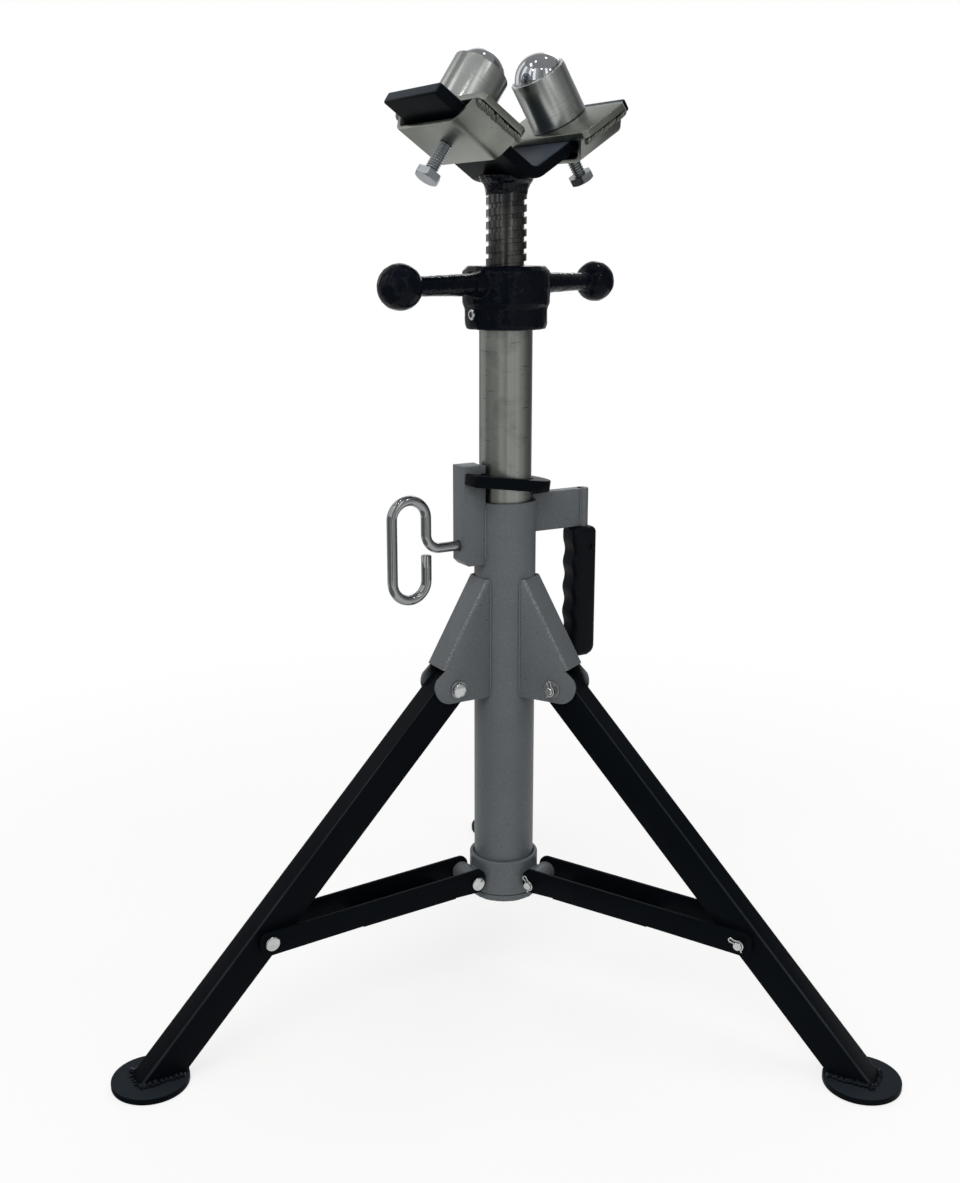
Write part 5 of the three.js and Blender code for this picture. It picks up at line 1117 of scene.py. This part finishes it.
# white paper: it keeps the shadow near the stand and is lit evenly to white farther off
paper, shader = newFinish("white_paper_floor", Roughness=0.9, Specular_IOR_Level=0.1)
shader.inputs["Base Color"].default_value = linear(studio["paper"])
spots = addNode(paper, "ShaderNodeTexCoord", {}).outputs["Object"]
away = addNode(paper, "ShaderNodeVectorMath", {"operation": "LENGTH"}, {0: spots})
fade = addNode(paper, "ShaderNodeMapRange", {"From Min": studio["fadeFrom"], "From Max": studio["fadeTo"], "To Min": studio["nearShare"], "interpolation_type": "SMOOTHSTEP"},
               {"Value": away.outputs["Value"]})


def seenRays(owner):
    # rays that come straight from the camera, or by way of polished metal
    rays = addNode(owner, "ShaderNodeLightPath", {})
    seen = addNode(owner, "ShaderNodeMath", {"operation": "MAXIMUM"}, {0: rays.outputs["Is Camera Ray"], 1: rays.outputs["Is Glossy Ray"]})
    return addNode(owner, "ShaderNodeMath", {"operation": "MAXIMUM"}, {0: seen.outputs[0], 1: rays.outputs["Is Transmission Ray"]}).outputs[0]


share = addNode(paper, "ShaderNodeMath", {"operation": "MULTIPLY"}, {0: fade.outputs["Result"], 1: seenRays(paper)})
white = addNode(paper, "ShaderNodeEmission", {"Color": (1, 1, 1, 1), "Strength": 1.0})
sheet = addNode(paper, "ShaderNodeMixShader", {}, {0: share.outputs[0], 1: shader.outputs[0], 2: white.outputs[0]})
paper.node_tree.links.new(sheet.outputs[0], paper.node_tree.nodes["Material Output"].inputs["Surface"])
floor.data.materials.append(paper)

world = bpy.context.scene.world or bpy.data.worlds.new("studio")
bpy.context.scene.world = world
world.use_nodes = True
sky = world.node_tree.nodes["Background"]
sky.inputs["Color"].default_value = (1, 1, 1, 1)
level = addNode(world, "ShaderNodeMapRange", {"To Min": studio["ambient"], "To Max": 1.0}, {"Value": seenRays(world)})
linkTo(world, sky, "Strength", level.outputs["Result"])

# grey cards round the stand, seen only in the metal: degrees from the camera's side, width in degrees, brightness low down and higher up
cards = [(-152, 24, 0.25, 0.5), (-128, 24, 0.6, 1.3), (-107, 18, 0.66, 0.4), (-88, 20, 0.17, 1.5), (-68, 20, 0.28, 0.55),
         (-52, 12, 0.32, 1.7), (-41, 10, 0.26, 0.4), (-30, 12, 0.26, 1.7), (-18, 12, 0.95, 0.6), (-6, 12, 0.22, 0.4),
         (5, 10, 0.3, 0.32), (16, 12, 1.0, 0.5), (28, 12, 0.5, 1.9), (41, 14, 0.6, 0.5), (55, 14, 0.62, 0.36),
         (70, 16, 0.46, 0.2), (87, 18, 0.3, 0.25), (107, 22, 0.15, 0.14), (130, 24, 0.1, 0.25), (152, 24, 0.3, 0.5)]


def greyCard(spot, rotation, wide, high, brightness):
    bpy.ops.object.select_all(action="DESELECT")
    bpy.ops.mesh.primitive_plane_add(size=1, location=spot, rotation=rotation)
    panel = bpy.context.object
    panel.name = "studioCard"
    panel.scale = (wide, high, 1)
    grey = bpy.data.materials.new("studio_card")
    grey.use_nodes = True
    glow = addNode(grey, "ShaderNodeEmission", {"Color": (1, 1, 1, 1), "Strength": brightness})
    grey.node_tree.links.new(glow.outputs[0], grey.node_tree.nodes["Material Output"].inputs["Surface"])
    panel.data.materials.append(grey)
    panel.visible_camera = panel.visible_diffuse = panel.visible_transmission = panel.visible_shadow = panel.visible_volume_scatter = False


for azimuth, wide, *brightness in cards:
    aim = math.radians(azimuth)
    for i, glow in enumerate(brightness):
        foot, top = studio["levels"][i:i + 2]
        spot = columnFoot + studio["ring"] * Vector((math.sin(aim), -math.cos(aim), 0)) + Vector((0, 0, (foot + top) / 2))
        greyCard(spot, (math.radians(90), 0, aim), 2 * studio["ring"] * math.tan(math.radians(wide / 2)), top - foot, glow)
greyCard(columnFoot + Vector((0, 0, studio["overhead"])), (0, 0, 0), studio["overheadSize"], studio["overheadSize"], studio["overheadGlow"])
greyCard(columnFoot + Vector((-1.12, -0.42, studio["overhead"] - 0.05)), (0, 0, math.radians(-20)), 0.34, 0.7, 2.4)  # a strip for the left housing
greyCard(columnFoot + Vector((-0.95, -0.6, -0.2 * mm)), (0, 0, math.radians(30)), 1.5, 1.5, 0.28)  # a dull patch of floor for the right one

middle = Vector((0, columnFoot.y, 0.5))
for name, spot, size, power in (("keyLight", (-0.9, -2.3, 2.7), 1.8, 47), ("topLight", (0.3, 0.2, 3.0), 1.4, 22),
                                ("fillLight", (2.2, -1.7, 1.4), 0.9, 5), ("backLight", (0.8, 2.0, 1.8), 1.0, 9),
                                ("sparkLight.1", (-0.9, -1.2, 1.9), 0.09, 0.8), ("sparkLight.2", (0.1, -1.45, 2.1), 0.09, 0.8),
                                ("sparkLight.3", (0.95, -0.9, 1.8), 0.09, 0.8), ("sparkLight.4", (-0.4, -0.3, 2.4), 0.12, 0.8),
                                ("sparkLight.5", (0.4, 0.3, 2.4), 0.12, 0.8)):
    bpy.ops.object.light_add(type="AREA", location=spot)
    lamp = bpy.context.object
    lamp.name = name
    lamp.data.size = size
    lamp.data.energy = power
    lamp.visible_camera = False
    lamp.rotation_euler = (middle - Vector(spot)).to_track_quat("-Z", "Y").to_euler()

# the photograph's frame is 960 x 1183; the lens is a focal length of 1355.65 of its pixels
shot = {"spot": (-0.0236, -1.3996, 0.7513), "pitch": 75.90, "yaw": 0.04, "focal": 1355.65, "high": 1183, "sensor": 36}
bpy.ops.object.camera_add(location=shot["spot"], rotation=(math.radians(shot["pitch"]), 0, math.radians(shot["yaw"])))
camera = bpy.context.object
camera.data.sensor_fit = "AUTO"
camera.data.sensor_width = shot["sensor"]
camera.data.lens = shot["focal"] * shot["sensor"] / shot["high"]
camera.data.clip_start = 0.01
bpy.context.scene.camera = camera
bpy.context.scene.view_settings.view_transform = "Standard"
print("studio set")
